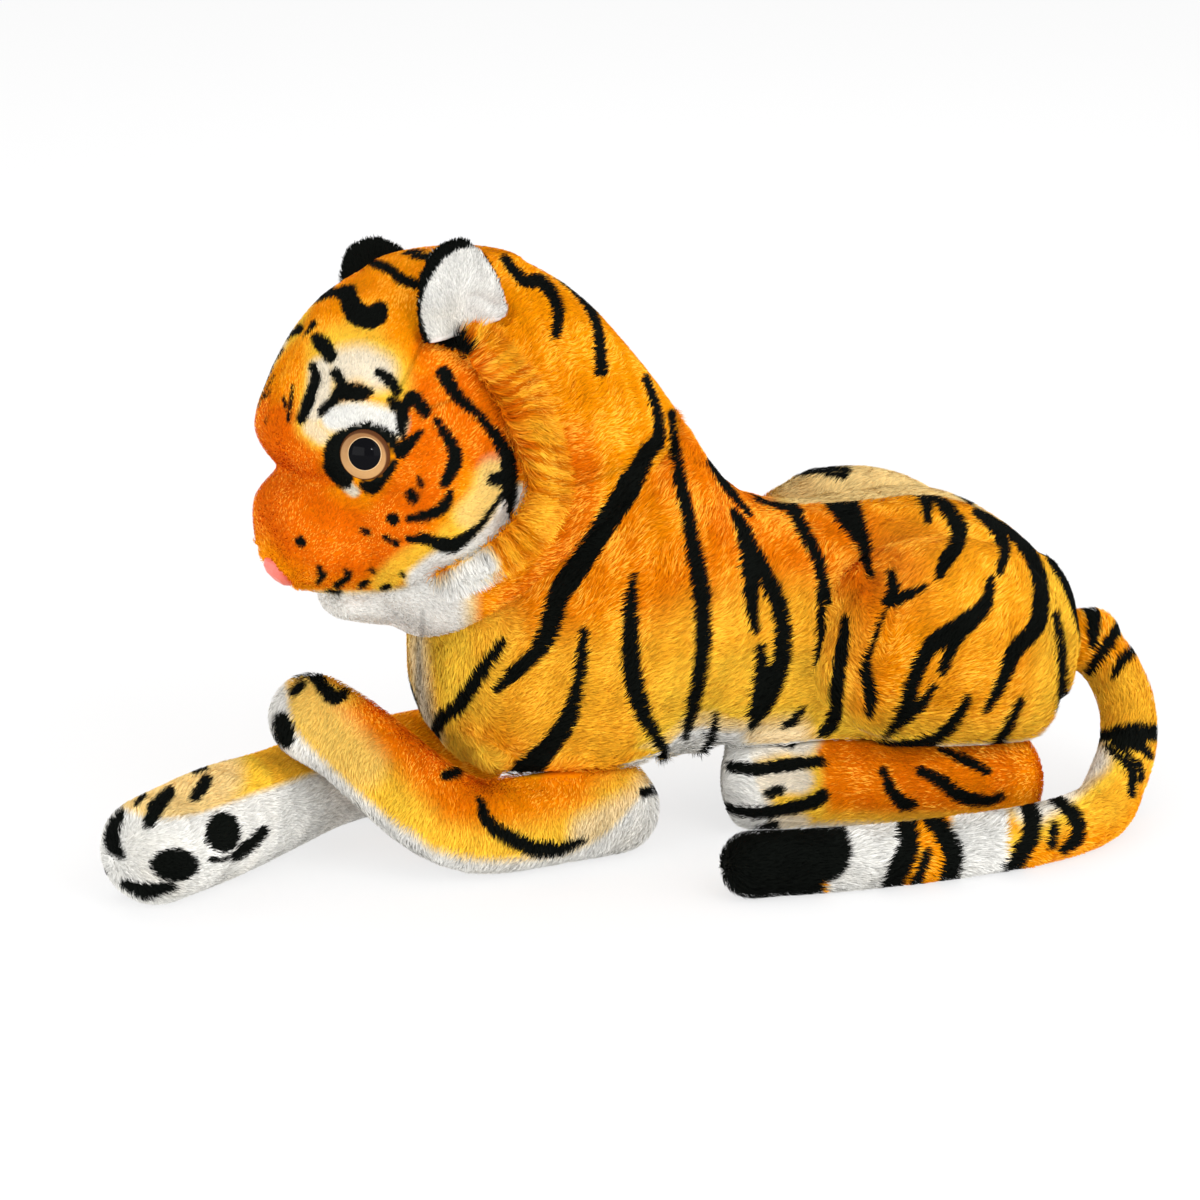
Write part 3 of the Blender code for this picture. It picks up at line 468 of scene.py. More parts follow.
TRUNK_GROOVES = (
    (0.0016, 7, NECK_SEAM),
    (0.0010, 5, CHEST_SEAM),
    (0.0022, 10, ((885, 566), (850, 588), (824, 632), (813, 674), (812, 728))),
    (0.0012, 6, WAIST_SEAM),
    (0.0020, 9, ((486, 740), (512, 762), (532, 778))),
)
HEAD_GROOVES = (
    (0.0010, 9, ((262, 468), (284, 477), (300, 484), (313, 484), (332, 476))),
    (0.0016, 7, NECK_SEAM),
    (0.0022, 6, ((306, 592), (350, 595), (404, 592), (425, 586))),
    (0.0010, 5, BROW_SEAM),
    (0.0010, 5, CHEEK_SEAM),
    (0.0020, 8, ((440, 340), (473, 366), (500, 400), (514, 440), (518, 490), (500, 530))),
)
EAR_GROOVES = (
    (0.0020, 16, ((446, 262), (452, 290), (462, 312))),
    (0.0016, 6, ((455, 304), (476, 300), (495, 308))),
)


def smooth_line(points, spacing=3):
    """A finer line through a mark's points, without corners, and how far along them it is."""
    points = np.array(points, float)
    before, after = 2 * points[0] - points[1], 2 * points[-1] - points[-2]
    held = np.vstack((before, points, after))
    line, at = [], []
    for index in range(len(points) - 1):
        a, b, c, d = held[index : index + 4]
        steps = max(2, int(np.linalg.norm(c - b) / spacing))
        for t in np.arange(steps) / steps:
            bend = (2 * a - 5 * b + 4 * c - d) * t**2 + (3 * b - a - 3 * c + d) * t**3
            line.append((2 * b + (c - a) * t + bend) / 2)
            at.append(index + t)
    return np.array([*line, points[-1]]), np.array([*at, len(points) - 1])


NOWHERE_NEAR = 1e3
SOFTEST_EDGE = 80


def gap_to(places, halves, points):
    """How far places in the frame are outside a mark, in pixels, and below zero inside it."""
    line, at = smooth_line(points)
    width = np.interp(at, np.linspace(0, len(points) - 1, len(halves)), halves)
    gap = np.full(len(places), NOWHERE_NEAR)
    margin = max(halves) + SOFTEST_EDGE
    close = np.all(
        (places > line.min(0) - margin) & (places < line.max(0) + margin), axis=1
    ).nonzero()[0]
    here = places[close]
    found = np.full(len(close), NOWHERE_NEAR)
    for start, end, half, next_half in zip(line, line[1:], width, width[1:]):
        span = end - start
        t = np.clip((here - start) @ span / (span @ span + 1e-9), 0, 1)
        away = np.linalg.norm(here - start - t[:, None] * span, axis=1)
        found = np.minimum(found, away - half - t * (next_half - half))
    gap[close] = found
    return gap


def printed(places, marks, rough=0.0, edge=1.2, swell=1.2, seed=3):
    """From 0 to 1, how much each place is inside sharp marks whose edge wanders a little."""
    shift = np.random.default_rng(seed).normal(0, 1, len(places)) * rough
    gap = np.full(len(places), NOWHERE_NEAR)
    for halves, points in marks:
        gap = np.minimum(gap, gap_to(places, halves, points))
    return np.clip(0.5 - (gap - swell + shift) / edge, 0, 1)


def seam_shade(places):
    """From 0 to 1, how much each place is in the line of painted shade along a seam's crease."""
    return printed(places, SEAM_SHADE_LINES, edge=2.5)


def toned(places, marks):
    """From 0 to 1, how much each place has a soft tone."""
    tone = np.zeros(len(places))
    for strength, half, softness, points in marks:
        t = np.clip(1 - gap_to(places, (half, half), points) / softness, 0, 1)
        tone = np.maximum(tone, strength * t * t * (3 - 2 * t))
    return tone


def step(value, start, end):
    """A soft step from 0 at start, which may be the higher of the two, to 1 at end."""
    t = np.clip((value - start) / (end - start), 0, 1)
    return t * t * (3 - 2 * t)


# Where tones and pile change: from one distance to another in the frame, in pixels

BELLY_ACROSS = (790, 870)
CHEST_ACROSS = (640, 580)
CHIN_ACROSS, CHIN_DOWN = (485, 455), (588, 595)
EAR_DOWN = (238, 244)
FAR_LEG_ROOT_ACROSS = (412, 385)
FAR_PAW_SEAM, FAR_PAW_SEAM_SLOPE = (214, 805), 0.34
FACE_BACK_ACROSS, NECK_ACROSS = (440, 560), (500, 560)
CHEEK_MIDDLE = np.array((418, 434))
RUFF_OUT = (92, 138)

# Sizes in metres: the top of the far thigh, the ruffs' locks and the far ear's white inside

FAR_HAUNCH_UP, FAR_HAUNCH_ALONG = (0.105, 0.118), 0.06
RUFF_RADIUS, LOCK_WIDTH = 0.052, 0.0017
EAR_INSIDE = 0.0150


# The coats: how each stuffed form is marked, from points and their outward normals


# The seam mark is painted shade: along the seams' creases, and between the ruff's locks
def marks_of(stripe, white, cream, deep, seam=0.0):
    return dict(stripe=stripe, white=white, cream=cream, deep=deep, seam=seam + 0 * stripe)


def trunk_coat(points, normals, rough):
    """Striped, and pale below, apart from the chest. The far thigh's top has its own marks."""
    places = in_view(near_side(points, BODY_LEFT))
    edge = 0.3 + 0.45 * step(places[:, 0], *BELLY_ACROSS) + 2.0 * step(places[:, 0], *CHEST_ACROSS)
    below = -normals[:, 2] - edge
    stripe = printed(places, TRUNK_STRIPES, rough)
    cream = toned(places, TRUNK_CREAM)
    white = toned(places, TRUNK_WHITE)
    along, across, height = points.T
    top = (across > MIDDLE) & (height > FAR_HAUNCH_UP[0]) & (along > FAR_HAUNCH_ALONG)
    thigh = in_view(points[top])
    stripe[top] = printed(thigh, FAR_HAUNCH_STRIPES, rough)
    cream[top] = toned(thigh, FAR_HAUNCH_CREAM) * step(height[top], *FAR_HAUNCH_UP)
    white[top] = 0.35 * cream[top]
    return marks_of(
        stripe,
        np.maximum(white, step(below, 0, 0.25)),
        np.maximum(cream, step(below, -0.35, 0)),
        # Deeper orange, with the ruff's painted shadow beside it; the seams' painted shade below
        toned(places, TRUNK_DEEP_AND_SHADE),
        seam_shade(places),
    )


def head_coat(points, normals, rough):
    """Striped round the eye, freckled on the muzzle and white under the chin."""
    places = in_view(near_side(points, HEAD_LEFT))
    chin = step(places[:, 1], *CHIN_DOWN) * step(places[:, 0], *CHIN_ACROSS)
    under = step(normals[:, 2], 0.3, -0.2) * chin
    marks = HEAD_STRIPES + FRECKLES + EYE_PATCH + EAR_ROOT_MARK
    stripe = printed(places, marks, rough, swell=0.3)
    return marks_of(
        np.maximum(stripe, printed(places, NECK_STRIPES, rough)),
        np.maximum(toned(places, HEAD_WHITE), under),
        np.maximum(toned(places, HEAD_CREAM), 0.8 * under),
        # Deeper orange, with the ruff's painted shadow and the brow crease's painted shade; the
        # seams' painted shade below
        toned(places, HEAD_DEEP_AND_SHADE),
        seam_shade(places),
    )


def limb_coat(stripes, white, cream, deep, low):
    """The marks of a leg or the tail, whose hidden side repeats those of the side that shows.

    A surface that faces down by low starts to be white, and cream a little before that.
    """

    def coat(points, normals, rough):
        places = in_view(points)
        under = step(-normals[:, 2], low, low + 0.45)
        return marks_of(
            printed(places, stripes, rough),
            np.maximum(toned(places, white), under),
            np.maximum(toned(places, cream), step(-normals[:, 2], low - 0.4, low + 0.2)),
            toned(places, deep),
        )

    return coat


def hind_coat(side):
    """The marks of a hind leg: the far one mirrors the near one."""
    coat = limb_coat(HIND_LEG_STRIPES, HIND_LEG_WHITE, HIND_LEG_CREAM, HIND_LEG_DEEP, 0.55)
    if side == "left":
        return coat
    return lambda points, normals, rough: coat(near_side(points, BODY_LEFT), normals, rough)


def right_front_coat(points, normals, rough):
    """The far front leg: white below its seam, and orange where the near leg hides it."""
    marks = limb_coat(
        RIGHT_FRONT_STRIPES, RIGHT_FRONT_WHITE, RIGHT_FRONT_CREAM, (), 0.1
    )(points, normals, rough)
    places = in_view(points) - FAR_PAW_SEAM
    below = places[:, 1] + places[:, 0] * FAR_PAW_SEAM_SLOPE
    outer = step(in_view(points)[:, 0], *FAR_LEG_ROOT_ACROSS)
    marks["white"] = np.maximum(marks["white"], step(below, -2, 8)) * outer
    marks["cream"] = marks["cream"] * outer
    return marks


def tail_coat(points, normals, rough):
    """The tail, with its black tip."""
    marks = limb_coat(TAIL_STRIPES, TAIL_WHITE, TAIL_CREAM, (), 2)(points, normals, rough)
    marks["stripe"] = np.maximum(marks["stripe"], toned(in_view(points), TAIL_TIP))
    return marks


def ruff_coat(points, normals, rough):
    """Light orange hair in locks that fan out from the cheek, white below it, with painted shade
    deeper toward the cheek and in the gaps between the locks.
    """
    places = in_view(near_side(points, HEAD_LEFT))
    low = toned(places, RUFF_WHITE)
    away = places - CHEEK_MIDDLE
    fan = np.arctan2(away[:, 1], away[:, 0]) * RUFF_RADIUS
    locks = waves(np.stack((fan, 0 * fan, 0 * fan), 1), LOCK_WIDTH, 4)
    locks = np.clip(1.4 * locks, -1, 1)
    out = step(np.linalg.norm(away, axis=1), *RUFF_OUT)
    return marks_of(
        printed(places, EAR_ROOT_MARK, rough),
        low,
        np.clip(0.22 * out + 0.20 * locks, 0, 1),
        # Deeper toward the cheek and between the locks: painted shade
        np.clip(0.9 - 0.9 * out - 0.4 * locks, 0, 1) * (1 - low),
        # Darker in the gaps between the locks: painted shade, carried by the seam mark
        0.6 * np.clip(-locks, 0, 1) * (1 - 0.5 * low),
    )


def ear_coat(points, normals, rough):
    """Black outside and round the rim, white within."""
    if points[:, 1].mean() < MIDDLE:
        places = in_view(points)
        within = step(normals @ HEAD_LEFT, 0.0, 0.35) * (1 - printed(places, EAR_RIM, rough))
        within = within * step(places[:, 1], *EAR_DOWN)
    else:
        reach = np.linalg.norm(points - EAR_MIDDLE["right"], axis=1)
        within = step(normals @ -HEAD_LEFT, 0.0, 0.35) * step(EAR_INSIDE - reach, 0, 0.002)
    return marks_of(1 - within, 1 + 0 * within, 0 * within, 0 * within)


# Skins: smooth closed forms in the space of the frame's solids


def centre(node):
    """The middle of a solid's box."""
    low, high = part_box(node)
    return np.array((low + high) / 2)


SIDES = ("left", "right")
EYES = ("eye_left", "eye_right")
EAR_MIDDLE = {side: centre(f"ear_{side}") for side in SIDES}


def merged(node, swell=0.0):
    """A copy of a solid's mesh with its corners joined, pushed out a little."""
    mesh = bmesh.new()
    mesh.from_mesh(nodes[node].data)
    bmesh.ops.remove_doubles(mesh, verts=mesh.verts, dist=1e-6)
    mesh.normal_update()
    if swell:
        for vert in mesh.verts:
            vert.co += vert.normal * swell
    return mesh


def select_only(piece):
    """Selects a piece and nothing else."""
    for other in bpy.context.selected_objects:
        other.select_set(False)
    piece.select_set(True)
    bpy.context.view_layer.objects.active = piece


def finish_with(piece, kind, **settings):
    """Adds a modifier and applies it."""
    modifier = piece.modifiers.new(kind.title(), kind)
    for name, value in settings.items():
        setattr(modifier, name, value)
    select_only(piece)
    bpy.ops.object.modifier_apply(modifier=modifier.name)


def corners_of(piece):
    """Where the corners of a piece's mesh are, and their outward normals."""
    data = piece.data
    places, normals = np.zeros(len(data.vertices) * 3), np.zeros(len(data.vertices) * 3)
    data.vertices.foreach_get("co", places)
    data.vertex_normals.foreach_get("vector", normals)
    return places.reshape(-1, 3), normals.reshape(-1, 3)


trees = {}


def tree(node):
    """A search tree over a solid of the frame."""
    if node not in trees:
        mesh = merged(node)
        trees[node] = BVHTree.FromBMesh(mesh)
        mesh.free()
    return trees[node]


def distances(points, names, reach):
    """How far points are from the named solids, below zero inside them and at most reach."""
    found = np.full(len(points), reach)
    for name in names:
        low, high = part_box(name)
        close = np.all(
            (points > np.array(low) - reach) & (points < np.array(high) + reach), axis=1
        ).nonzero()[0]
        search = tree(name)
        for index in close:
            spot, normal, _, away = search.find_nearest(Vector(points[index]), reach)
            if spot is None:
                continue
            inside = (Vector(points[index]) - spot).dot(normal) < 0
            found[index] = min(found[index], -away if inside else away)
    return found


JOIN_SWELL = 0.0004
SKIN_DEPTH = 0.0003
CLOSE = 0.008


def skin_of(name, solids, voxel, sink, touching, smoothing=4, seats=()):
    """One closed skin over the solids, sunk in them to leave room for its fur.

    It is sunk less where it comes close to what it touches, and round the eyes and the nose.
    """
    data = bpy.data.meshes.new(name)
    whole = bmesh.new()
    for node in solids:
        part = merged(node, JOIN_SWELL if len(solids) > 1 else 0)
        part.to_mesh(data)
        part.free()
        whole.from_mesh(data)
    whole.to_mesh(data)
    whole.free()
    piece = bpy.data.objects.new(name, data)
    bpy.context.scene.collection.objects.link(piece)
    finish_with(piece, "REMESH", mode="VOXEL", voxel_size=voxel)
    finish_with(piece, "SMOOTH", factor=0.5, iterations=smoothing)
    places, normals = corners_of(piece)
    room = step(distances(places, touching, CLOSE), 0.0005, CLOSE)
    seat = step(distances(places, seats, CLOSE), 0.001, 0.007) if seats else 1
    depth = sink(places) if callable(sink) else sink
    moved = places - normals * (SKIN_DEPTH + (depth - SKIN_DEPTH) * room * seat)[:, None]
    piece.data.vertices.foreach_set("co", moved.ravel())
    piece.data.update()
    piece.data.shade_smooth()
    return piece


def press(piece, grooves, left):
    """Sews grooves into the side of a skin that shows, each along a line in the frame."""
    places, normals = corners_of(piece)
    spots = in_view(near_side(places, left))
    facing = step(near_side(places, left, normals) @ BACK, 0.0, 0.3)
    depth = 0 * facing
    for deep, softness, points in grooves:
        gap = np.maximum(gap_to(spots, (0, 0), points), 0) / softness
        depth = np.maximum(depth, deep * np.exp(-(gap**2)))
    pressed = places - normals * (depth * facing)[:, None]
    piece.data.vertices.foreach_set("co", pressed.ravel())
    piece.data.update()


# Fur: thousands of short blades, each rooted in a skin


SQUARE_MM = 1e-6


def rooted(piece, density, seed):
    """Evenly spread places on a skin, with their normals and the dice for what differs there.

    density is how many there are to a square millimetre.
    """
    data = piece.data
    data.calc_loop_triangles()
    triangles = np.zeros(len(data.loop_triangles) * 3, int)
    data.loop_triangles.foreach_get("vertices", triangles)
    triangles = triangles.reshape(-1, 3)
    places, normals = corners_of(piece)
    a, b, c = places[triangles].transpose(1, 0, 2)
    area = np.linalg.norm(np.cross(b - a, c - a), axis=1) / 2
    reach = np.cumsum(area)
    dice = np.random.default_rng(seed)
    count = int(density * reach[-1] / SQUARE_MM)
    at = (np.arange(count) + dice.random(count)) / count * reach[-1]
    found = np.minimum(np.searchsorted(reach, at), len(area) - 1)
    u, v = dice.random(count), dice.random(count)
    fold = u + v > 1
    u[fold], v[fold] = 1 - u[fold], 1 - v[fold]
    share = np.stack((1 - u - v, u, v), 1)[:, :, None]
    root = (places[triangles[found]] * share).sum(1)
    out = (normals[triangles[found]] * share).sum(1)
    return root, out / np.linalg.norm(out, axis=1)[:, None], dice


def unit(vectors):
    """Vectors brought to a length of 1."""
    return vectors / np.maximum(np.linalg.norm(vectors, axis=1), 1e-9)[:, None]


def waves(points, size, seed):
    """Smooth values about 0 that wander over a few multiples of size."""
    dice = np.random.default_rng(seed)
    total = 0
    for _ in range(5):
        way = dice.normal(0, 1, 3)
        total = total + np.sin(points @ (way / size) + dice.random() * 6.3)
    return total / 2.2


def six_sided(points, normals, low, high):
    """Map places for points, laid out as six views side by side."""
    axis = np.abs(normals).argmax(1)
    rows = np.arange(len(points))
    side = (normals[rows, axis] > 0).astype(int)
    share = (points - low) / (high - low)
    first = np.where(axis == 0, share[:, 1], share[:, 0])
    second = np.where(axis == 2, share[:, 1], share[:, 2])
    flat = np.stack((first, second), 1) * 0.94 + 0.03
    return (flat + np.stack((axis, side), 1)) / np.array((3, 2))


def hold(data, name, values):
    """Keeps one value for each corner of a mesh, for its material to read."""
    data.attributes.new(name, "FLOAT", "POINT").data.foreach_set(
        "value", np.asarray(values, np.float32)
    )


# A blade's five corners, as shares of its size: two at the root, two at the middle, the tip.
# It has two faces, one of four corners and one of three.

BLADE_CORNERS = 5
MIDDLE_LAY_SHARE, MIDDLE_RISE_SHARE, MIDDLE_WIDTH_SHARE = 0.45, 0.8, 0.85
UP_THE_BLADE_SHARES = (0, 0, 0.55, 0.55, 1)
BLADE_FACES = np.array((0, 1, 3, 2, 2, 3, 4))
FACE_STARTS = np.array((0, 4))
BLADE_ON_MAP = np.array(((0, 0), (1, 0), (0, 1), (1, 1), (0.5, 2))) * 0.0022
MAP_MARGIN = 0.004

# How deep a blade is rooted, what it keeps clear of, and the sizes of the fur's unevenness

ROOT_DEPTH, ABOVE_FLOOR = 0.0005, 0.0002
TIP_CLEARANCE, ROOT_CLEARANCE, ROOT_HEIGHT, FUR_REACH = 0.0002, 0.0012, 0.0006, 0.003
TUFT, SWIRL, PATCH = 0.003, 0.0045, 0.0035


def uneven(dice, count):
    """Sizes that differ by a fifth either way."""
    return 0.8 + 0.4 * dice.random(count)


def clear_of(solids, root, out, tip):
    """Which blades keep away from the solids, at both of their ends."""
    if not solids:
        return np.ones(len(root), bool)
    low = distances(root + out * ROOT_HEIGHT, solids, FUR_REACH) > ROOT_CLEARANCE
    return low & (distances(tip, solids, FUR_REACH) > TIP_CLEARANCE)


def blade_mesh(name, blades, spots):
    """A mesh of blades, with a place for each of their corners on its map."""
    count = len(blades)
    sides = len(BLADE_FACES)
    data = bpy.data.meshes.new(name)
    data.vertices.add(count * BLADE_CORNERS)
    data.vertices.foreach_set("co", blades.reshape(-1).astype(np.float32))
    corners = (np.arange(count)[:, None] * BLADE_CORNERS + BLADE_FACES).ravel()
    data.loops.add(count * sides)
    data.loops.foreach_set("vertex_index", corners.astype(np.int32))
    data.polygons.add(count * len(FACE_STARTS))
    starts = (np.arange(count)[:, None] * sides + FACE_STARTS).ravel()
    data.polygons.foreach_set("loop_start", starts.astype(np.int32))
    data.update(calc_edges=True)
    data.shade_smooth()
    spots = (spots[:, None, :] + BLADE_ON_MAP[None]).reshape(-1, 2)
    data.uv_layers.new(name="OFBake").data.foreach_set(
        "uv", spots[corners].ravel().astype(np.float32)
    )
    return data


def fur(name, piece, coat, density, shape, lie, clear, seed):
    """Blades over a skin. shape gives their lay, rise and width, and lie the way they point."""
    root, out, dice = rooted(piece, density, seed)
    lay, rise, width = shape(root)
    way = lie(root, out)
    way = unit(way - out * (way * out).sum(1)[:, None])
    side = np.cross(way, out)
    turn = 0.30 * waves(root, SWIRL, 5) + dice.normal(0, 0.15, len(root))
    way, side = (
        way * np.cos(turn)[:, None] + side * np.sin(turn)[:, None],
        side * np.cos(turn)[:, None] - way * np.sin(turn)[:, None],
    )
    lay = lay * (uneven(dice, len(root)) * (1 + 0.08 * waves(root, TUFT, seed + 9)))
    rise = rise * uneven(dice, len(root))
    tip = root + way * lay[:, None] + out * rise[:, None]
    keep = clear_of(clear, root, out, tip)
    root, out, way, side, tip = root[keep], out[keep], way[keep], side[keep], tip[keep]
    lay, rise, width = lay[keep][:, None], rise[keep][:, None], width[keep]
    count = len(root)
    roll = dice.normal(0, 0.32, count)[:, None]
    flat = side * np.cos(roll) + out * np.sin(roll)
    half = flat * (width * uneven(dice, count) / 2)[:, None]
    narrow = half * MIDDLE_WIDTH_SHARE
    base = root - out * ROOT_DEPTH
    middle = root + way * lay * MIDDLE_LAY_SHARE + out * rise * MIDDLE_RISE_SHARE
    blades = np.stack((base - half, base + half, middle - narrow, middle + narrow, tip), 1)
    blades[:, :, 2] = np.maximum(blades[:, :, 2], ABOVE_FLOOR)
    spots = six_sided(root, out, root.min(0) - MAP_MARGIN, root.max(0) + MAP_MARGIN)
    data = blade_mesh(name, blades, spots)
    for mark, values in coat(root + way * lay * 0.5, out, 0.8).items():
        hold(data, mark, np.repeat(values, BLADE_CORNERS))
    strand = 0.5 + 0.20 * waves(root, PATCH, 2) + 0.7 * (dice.random(count) - 0.5)
    hold(data, "strand", np.repeat(np.clip(strand, 0, 1), BLADE_CORNERS))
    hold(data, "tip", np.tile(UP_THE_BLADE_SHARES, count))
    made = bpy.data.objects.new(name, data)
    bpy.context.scene.collection.objects.link(made)
    return made


def dress(piece, coat):
    """Marks a skin, and gives it its map."""
    data = piece.data
    places, normals = corners_of(piece)
    for mark, values in coat(places, normals, 0.0).items():
        hold(data, mark, values)
    hold(data, "strand", np.full(len(places), 0.8))
    # A tip of 0 gives the skin the painted shade of the blades' roots
    hold(data, "tip", np.zeros(len(places)))
    faces = len(data.polygons)
    flat = np.zeros(faces * 3)
    data.polygons.foreach_get("normal", flat)
    totals = np.zeros(faces, int)
    data.polygons.foreach_get("loop_total", totals)
    corners = np.zeros(len(data.loops), int)
    data.loops.foreach_get("vertex_index", corners)
    spots = six_sided(
        places[corners],
        np.repeat(flat.reshape(-1, 3), totals, axis=0),
        places.min(0) - MAP_MARGIN,
        places.max(0) + MAP_MARGIN,
    )
    data.uv_layers.new(name="OFBake").data.foreach_set("uv", spots.ravel().astype(np.float32))


# Shader maths


class Value:
    """A socket that adds Math nodes when it is used in sums."""

    def __init__(self, shader, socket):
        self.shader, self.socket = shader, socket

    def math(self, operation, *others, clamp=False):
        sockets = {index: value for index, value in enumerate((self, *others))}
        settings = {"operation": operation, "use_clamp": clamp}
        return self.shader.node("ShaderNodeMath", settings, sockets)

    def __add__(self, other):
        return self.math("ADD", other)

    def __mul__(self, other):
        return self.math("MULTIPLY", other)

    def __sub__(self, other):
        return self.math("SUBTRACT", other)

    def __rsub__(self, other):
        return self.shader.node("ShaderNodeMath", {"operation": "SUBTRACT"}, {0: other, 1: self})

    __radd__ = __add__
    __rmul__ = __mul__

    def clamped(self):
        return self.math("ADD", 0.0, clamp=True)


class Shader:
    """A material whose nodes are added one by one."""

    def __init__(self, name, **even):
        self.material = bpy.data.materials.new(name)
        self.material.use_nodes = True
        self.tree = self.material.node_tree
        self.surface = self.tree.nodes["Principled BSDF"]
        for socket, value in even.items():
            self.surface.inputs[socket.replace("_", " ")].default_value = value

    def node(self, kind, settings=(), sockets=(), out=0):
        made = self.tree.nodes.new(kind)
        for name, value in dict(settings).items():
            setattr(made, name, value)
        for name, value in dict(sockets).items():
            if isinstance(value, Value):
                self.tree.links.new(value.socket, made.inputs[name])
            else:
                made.inputs[name].default_value = value
        return Value(self, made.outputs[out])

    def attribute(self, name):
        return self.node("ShaderNodeAttribute", {"attribute_name": name}, out="Fac")

    def place(self):
        return self.node("ShaderNodeTexCoord", out="Object")

    def noise(self, scale, detail=2.0):
        sockets = {"Scale": scale, "Detail": detail, "Vector": self.place()}
        return self.node("ShaderNodeTexNoise", {}, sockets)

    def vector(self, operation, *values, out=0):
        sockets = {index: value for index, value in enumerate(values)}
        return self.node("ShaderNodeVectorMath", {"operation": operation}, sockets, out)

    def mix(self, share, first, second, blend="MIX"):
        settings = {"data_type": "RGBA", "blend_type": blend}
        first, second = ((*c, 1) if isinstance(c, tuple) else c for c in (first, second))
        return self.node("ShaderNodeMix", settings, {0: share, 6: first, 7: second}, out=2)

    def feed(self, socket, value):
        self.tree.links.new(value.socket, self.surface.inputs[socket])

    def bump(self, height, strength, distance):
        sockets = {"Height": height, "Strength": strength, "Distance": distance}
        self.feed("Normal", self.node("ShaderNodeBump", {}, sockets))


# Finishes of the pile. Its attributes are the marks of its coat, and for a blade also
# strand, which differs from blade to blade, and tip, which rises to 1 along it.

# DEEP_AND_SHADE is deep orange, and also the colour of painted shade; GLINT_HIGHLIGHT is the
# colour of painted glints
ORANGE, DEEP_AND_SHADE, GLINT_HIGHLIGHT = (0.95, 0.32, 0.0), (0.84, 0.160, 0.0), (1.0, 0.60, 0.06)
CREAM, WHITE, BLACK = (0.95, 0.60, 0.045), (0.84, 0.83, 0.79), (0.004, 0.005, 0.004)
CLOUDING, GRAIN = 45.0, 320.0


def plush(name, shade=1.0):
    """Printed pile: its tone, its marks, a strand-by-strand change of tone, painted shade at the
    blades' roots fading toward their tips, and painted glints on the palest strands.
    """
    shader = Shader(name, Roughness=0.9, Specular_IOR_Level=0.04)
    strand, tip = shader.attribute("strand"), shader.attribute("tip")
    broad = shader.noise(CLOUDING) - 0.5
    fine = shader.noise(GRAIN, 3.0) - 0.5
    deep = (shader.attribute("deep") + broad * 0.7 + fine * 0.3).clamped()
    colour = shader.mix(deep, ORANGE, DEEP_AND_SHADE)
    # Painted glints: the palest strands grow paler toward their tips
    glint = ((strand - 0.62) * 4.0).clamped() * tip * 0.9
    colour = shader.mix(glint, colour, GLINT_HIGHLIGHT)
    cream = shader.attribute("cream") + shader.attribute("white") * 1.6
    cream = (cream * (1.0 + fine * 0.5)).clamped()
    colour = shader.mix(cream, colour, CREAM)
    white = (shader.attribute("white") * (1.0 + broad * 0.2)).clamped()
    colour = shader.mix(white, colour, WHITE)
    stripe = shader.attribute("stripe").clamped()
    colour = shader.mix(stripe, colour, BLACK)
    # Painted shade at the blades' roots, fading out toward their tips
    tone = (tip * 0.16 + strand * 0.50 + 0.54) * shade
    # Painted shade along the seams' creases and between the ruff's locks darkens the tone
    tone = tone * (1.0 - shader.attribute("seam") * 0.30)
    grey = shader.node("ShaderNodeCombineColor", {}, {0: tone, 1: tone, 2: tone})
    colour = shader.mix(1.0, colour, grey, "MULTIPLY")
    shader.feed("Base Color", colour)
    shader.bump(fine + broad, 0.3, 0.001)
    return shader.material


fur_finish = plush("plush_fur")
# The skin between the blades is painted a little darker, as the shade there
skin_finish = plush("plush_skin", shade=0.95)


def wear(piece, finish, body):
    """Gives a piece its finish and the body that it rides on."""
    piece.data.materials.clear()
    piece.data.materials.append(finish)
    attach(piece, body)


# How the fur lies: the way that it points, before it is laid along the skin

OVER_BACK, DOWN_CHEST = np.array((1.0, 0.0, 0.75)), np.array((0.0, -0.7, -1.0))
OVER_CROWN, OVER_NAPE = np.array((0.25, 0, 0.35)), np.array((1.0, 0, 0.5))
DOWN_LEG = (-0.45, -0.3, -1.0)
EAR_LIFT = np.array((0, 0, 0.03))


def away_from(root, node):
    """How far places are from the middle of a solid."""
    return np.linalg.norm(root - centre(node), axis=1)


def trunk_lie(root, out):
    """Back and up over the body, and down the chest."""
    chest = step(out[:, 0], -0.3, -0.7)[:, None]
    way = OVER_BACK * (1 - chest) + DOWN_CHEST * chest
    drift = np.stack((waves(root, 0.05, 2), 0 * root[:, 0], waves(root, 0.04, 3)), 1)
    return way + 0.25 * drift


def head_lie(root, out):
    """Back from the nose over the face, and away from the eyes round them."""
    way = unit(root - centre("nose")) + OVER_CROWN
    for node in EYES:
        near = 1 - step(away_from(root, node), 0.010, 0.022)
        way = way + unit(root - centre(node)) * near[:, None] * 2.5
    neck = step(in_view(near_side(root, HEAD_LEFT))[:, 0], *NECK_ACROSS)[:, None]
    return way * (1 - neck) + OVER_NAPE * neck


def along(route):
    """The way along a route, from its first point to its last, at the nearest part of it."""
    route = np.array(route, float)

    def lie(root, out):
        middles = (route[1:] + route[:-1]) / 2
        nearest = np.linalg.norm(root[:, None] - middles[None], axis=2).argmin(1)
        return np.diff(route, axis=0)[nearest]

    return lie


def down_leg(root, out):
    """Down, forward and outwards over the near front leg."""
    return np.tile(DOWN_LEG, (len(root), 1))


def ruff_lie(root, out):
    """Outwards from the cheek to the ruff's edge."""
    away = in_view(near_side(root, HEAD_LEFT)) - CHEEK_MIDDLE
    way = np.outer(away[:, 0], RIGHT) - np.outer(away[:, 1], UP)
    return near_side(root, HEAD_LEFT, unit(way) - 0.25 * HEAD_FORWARD)


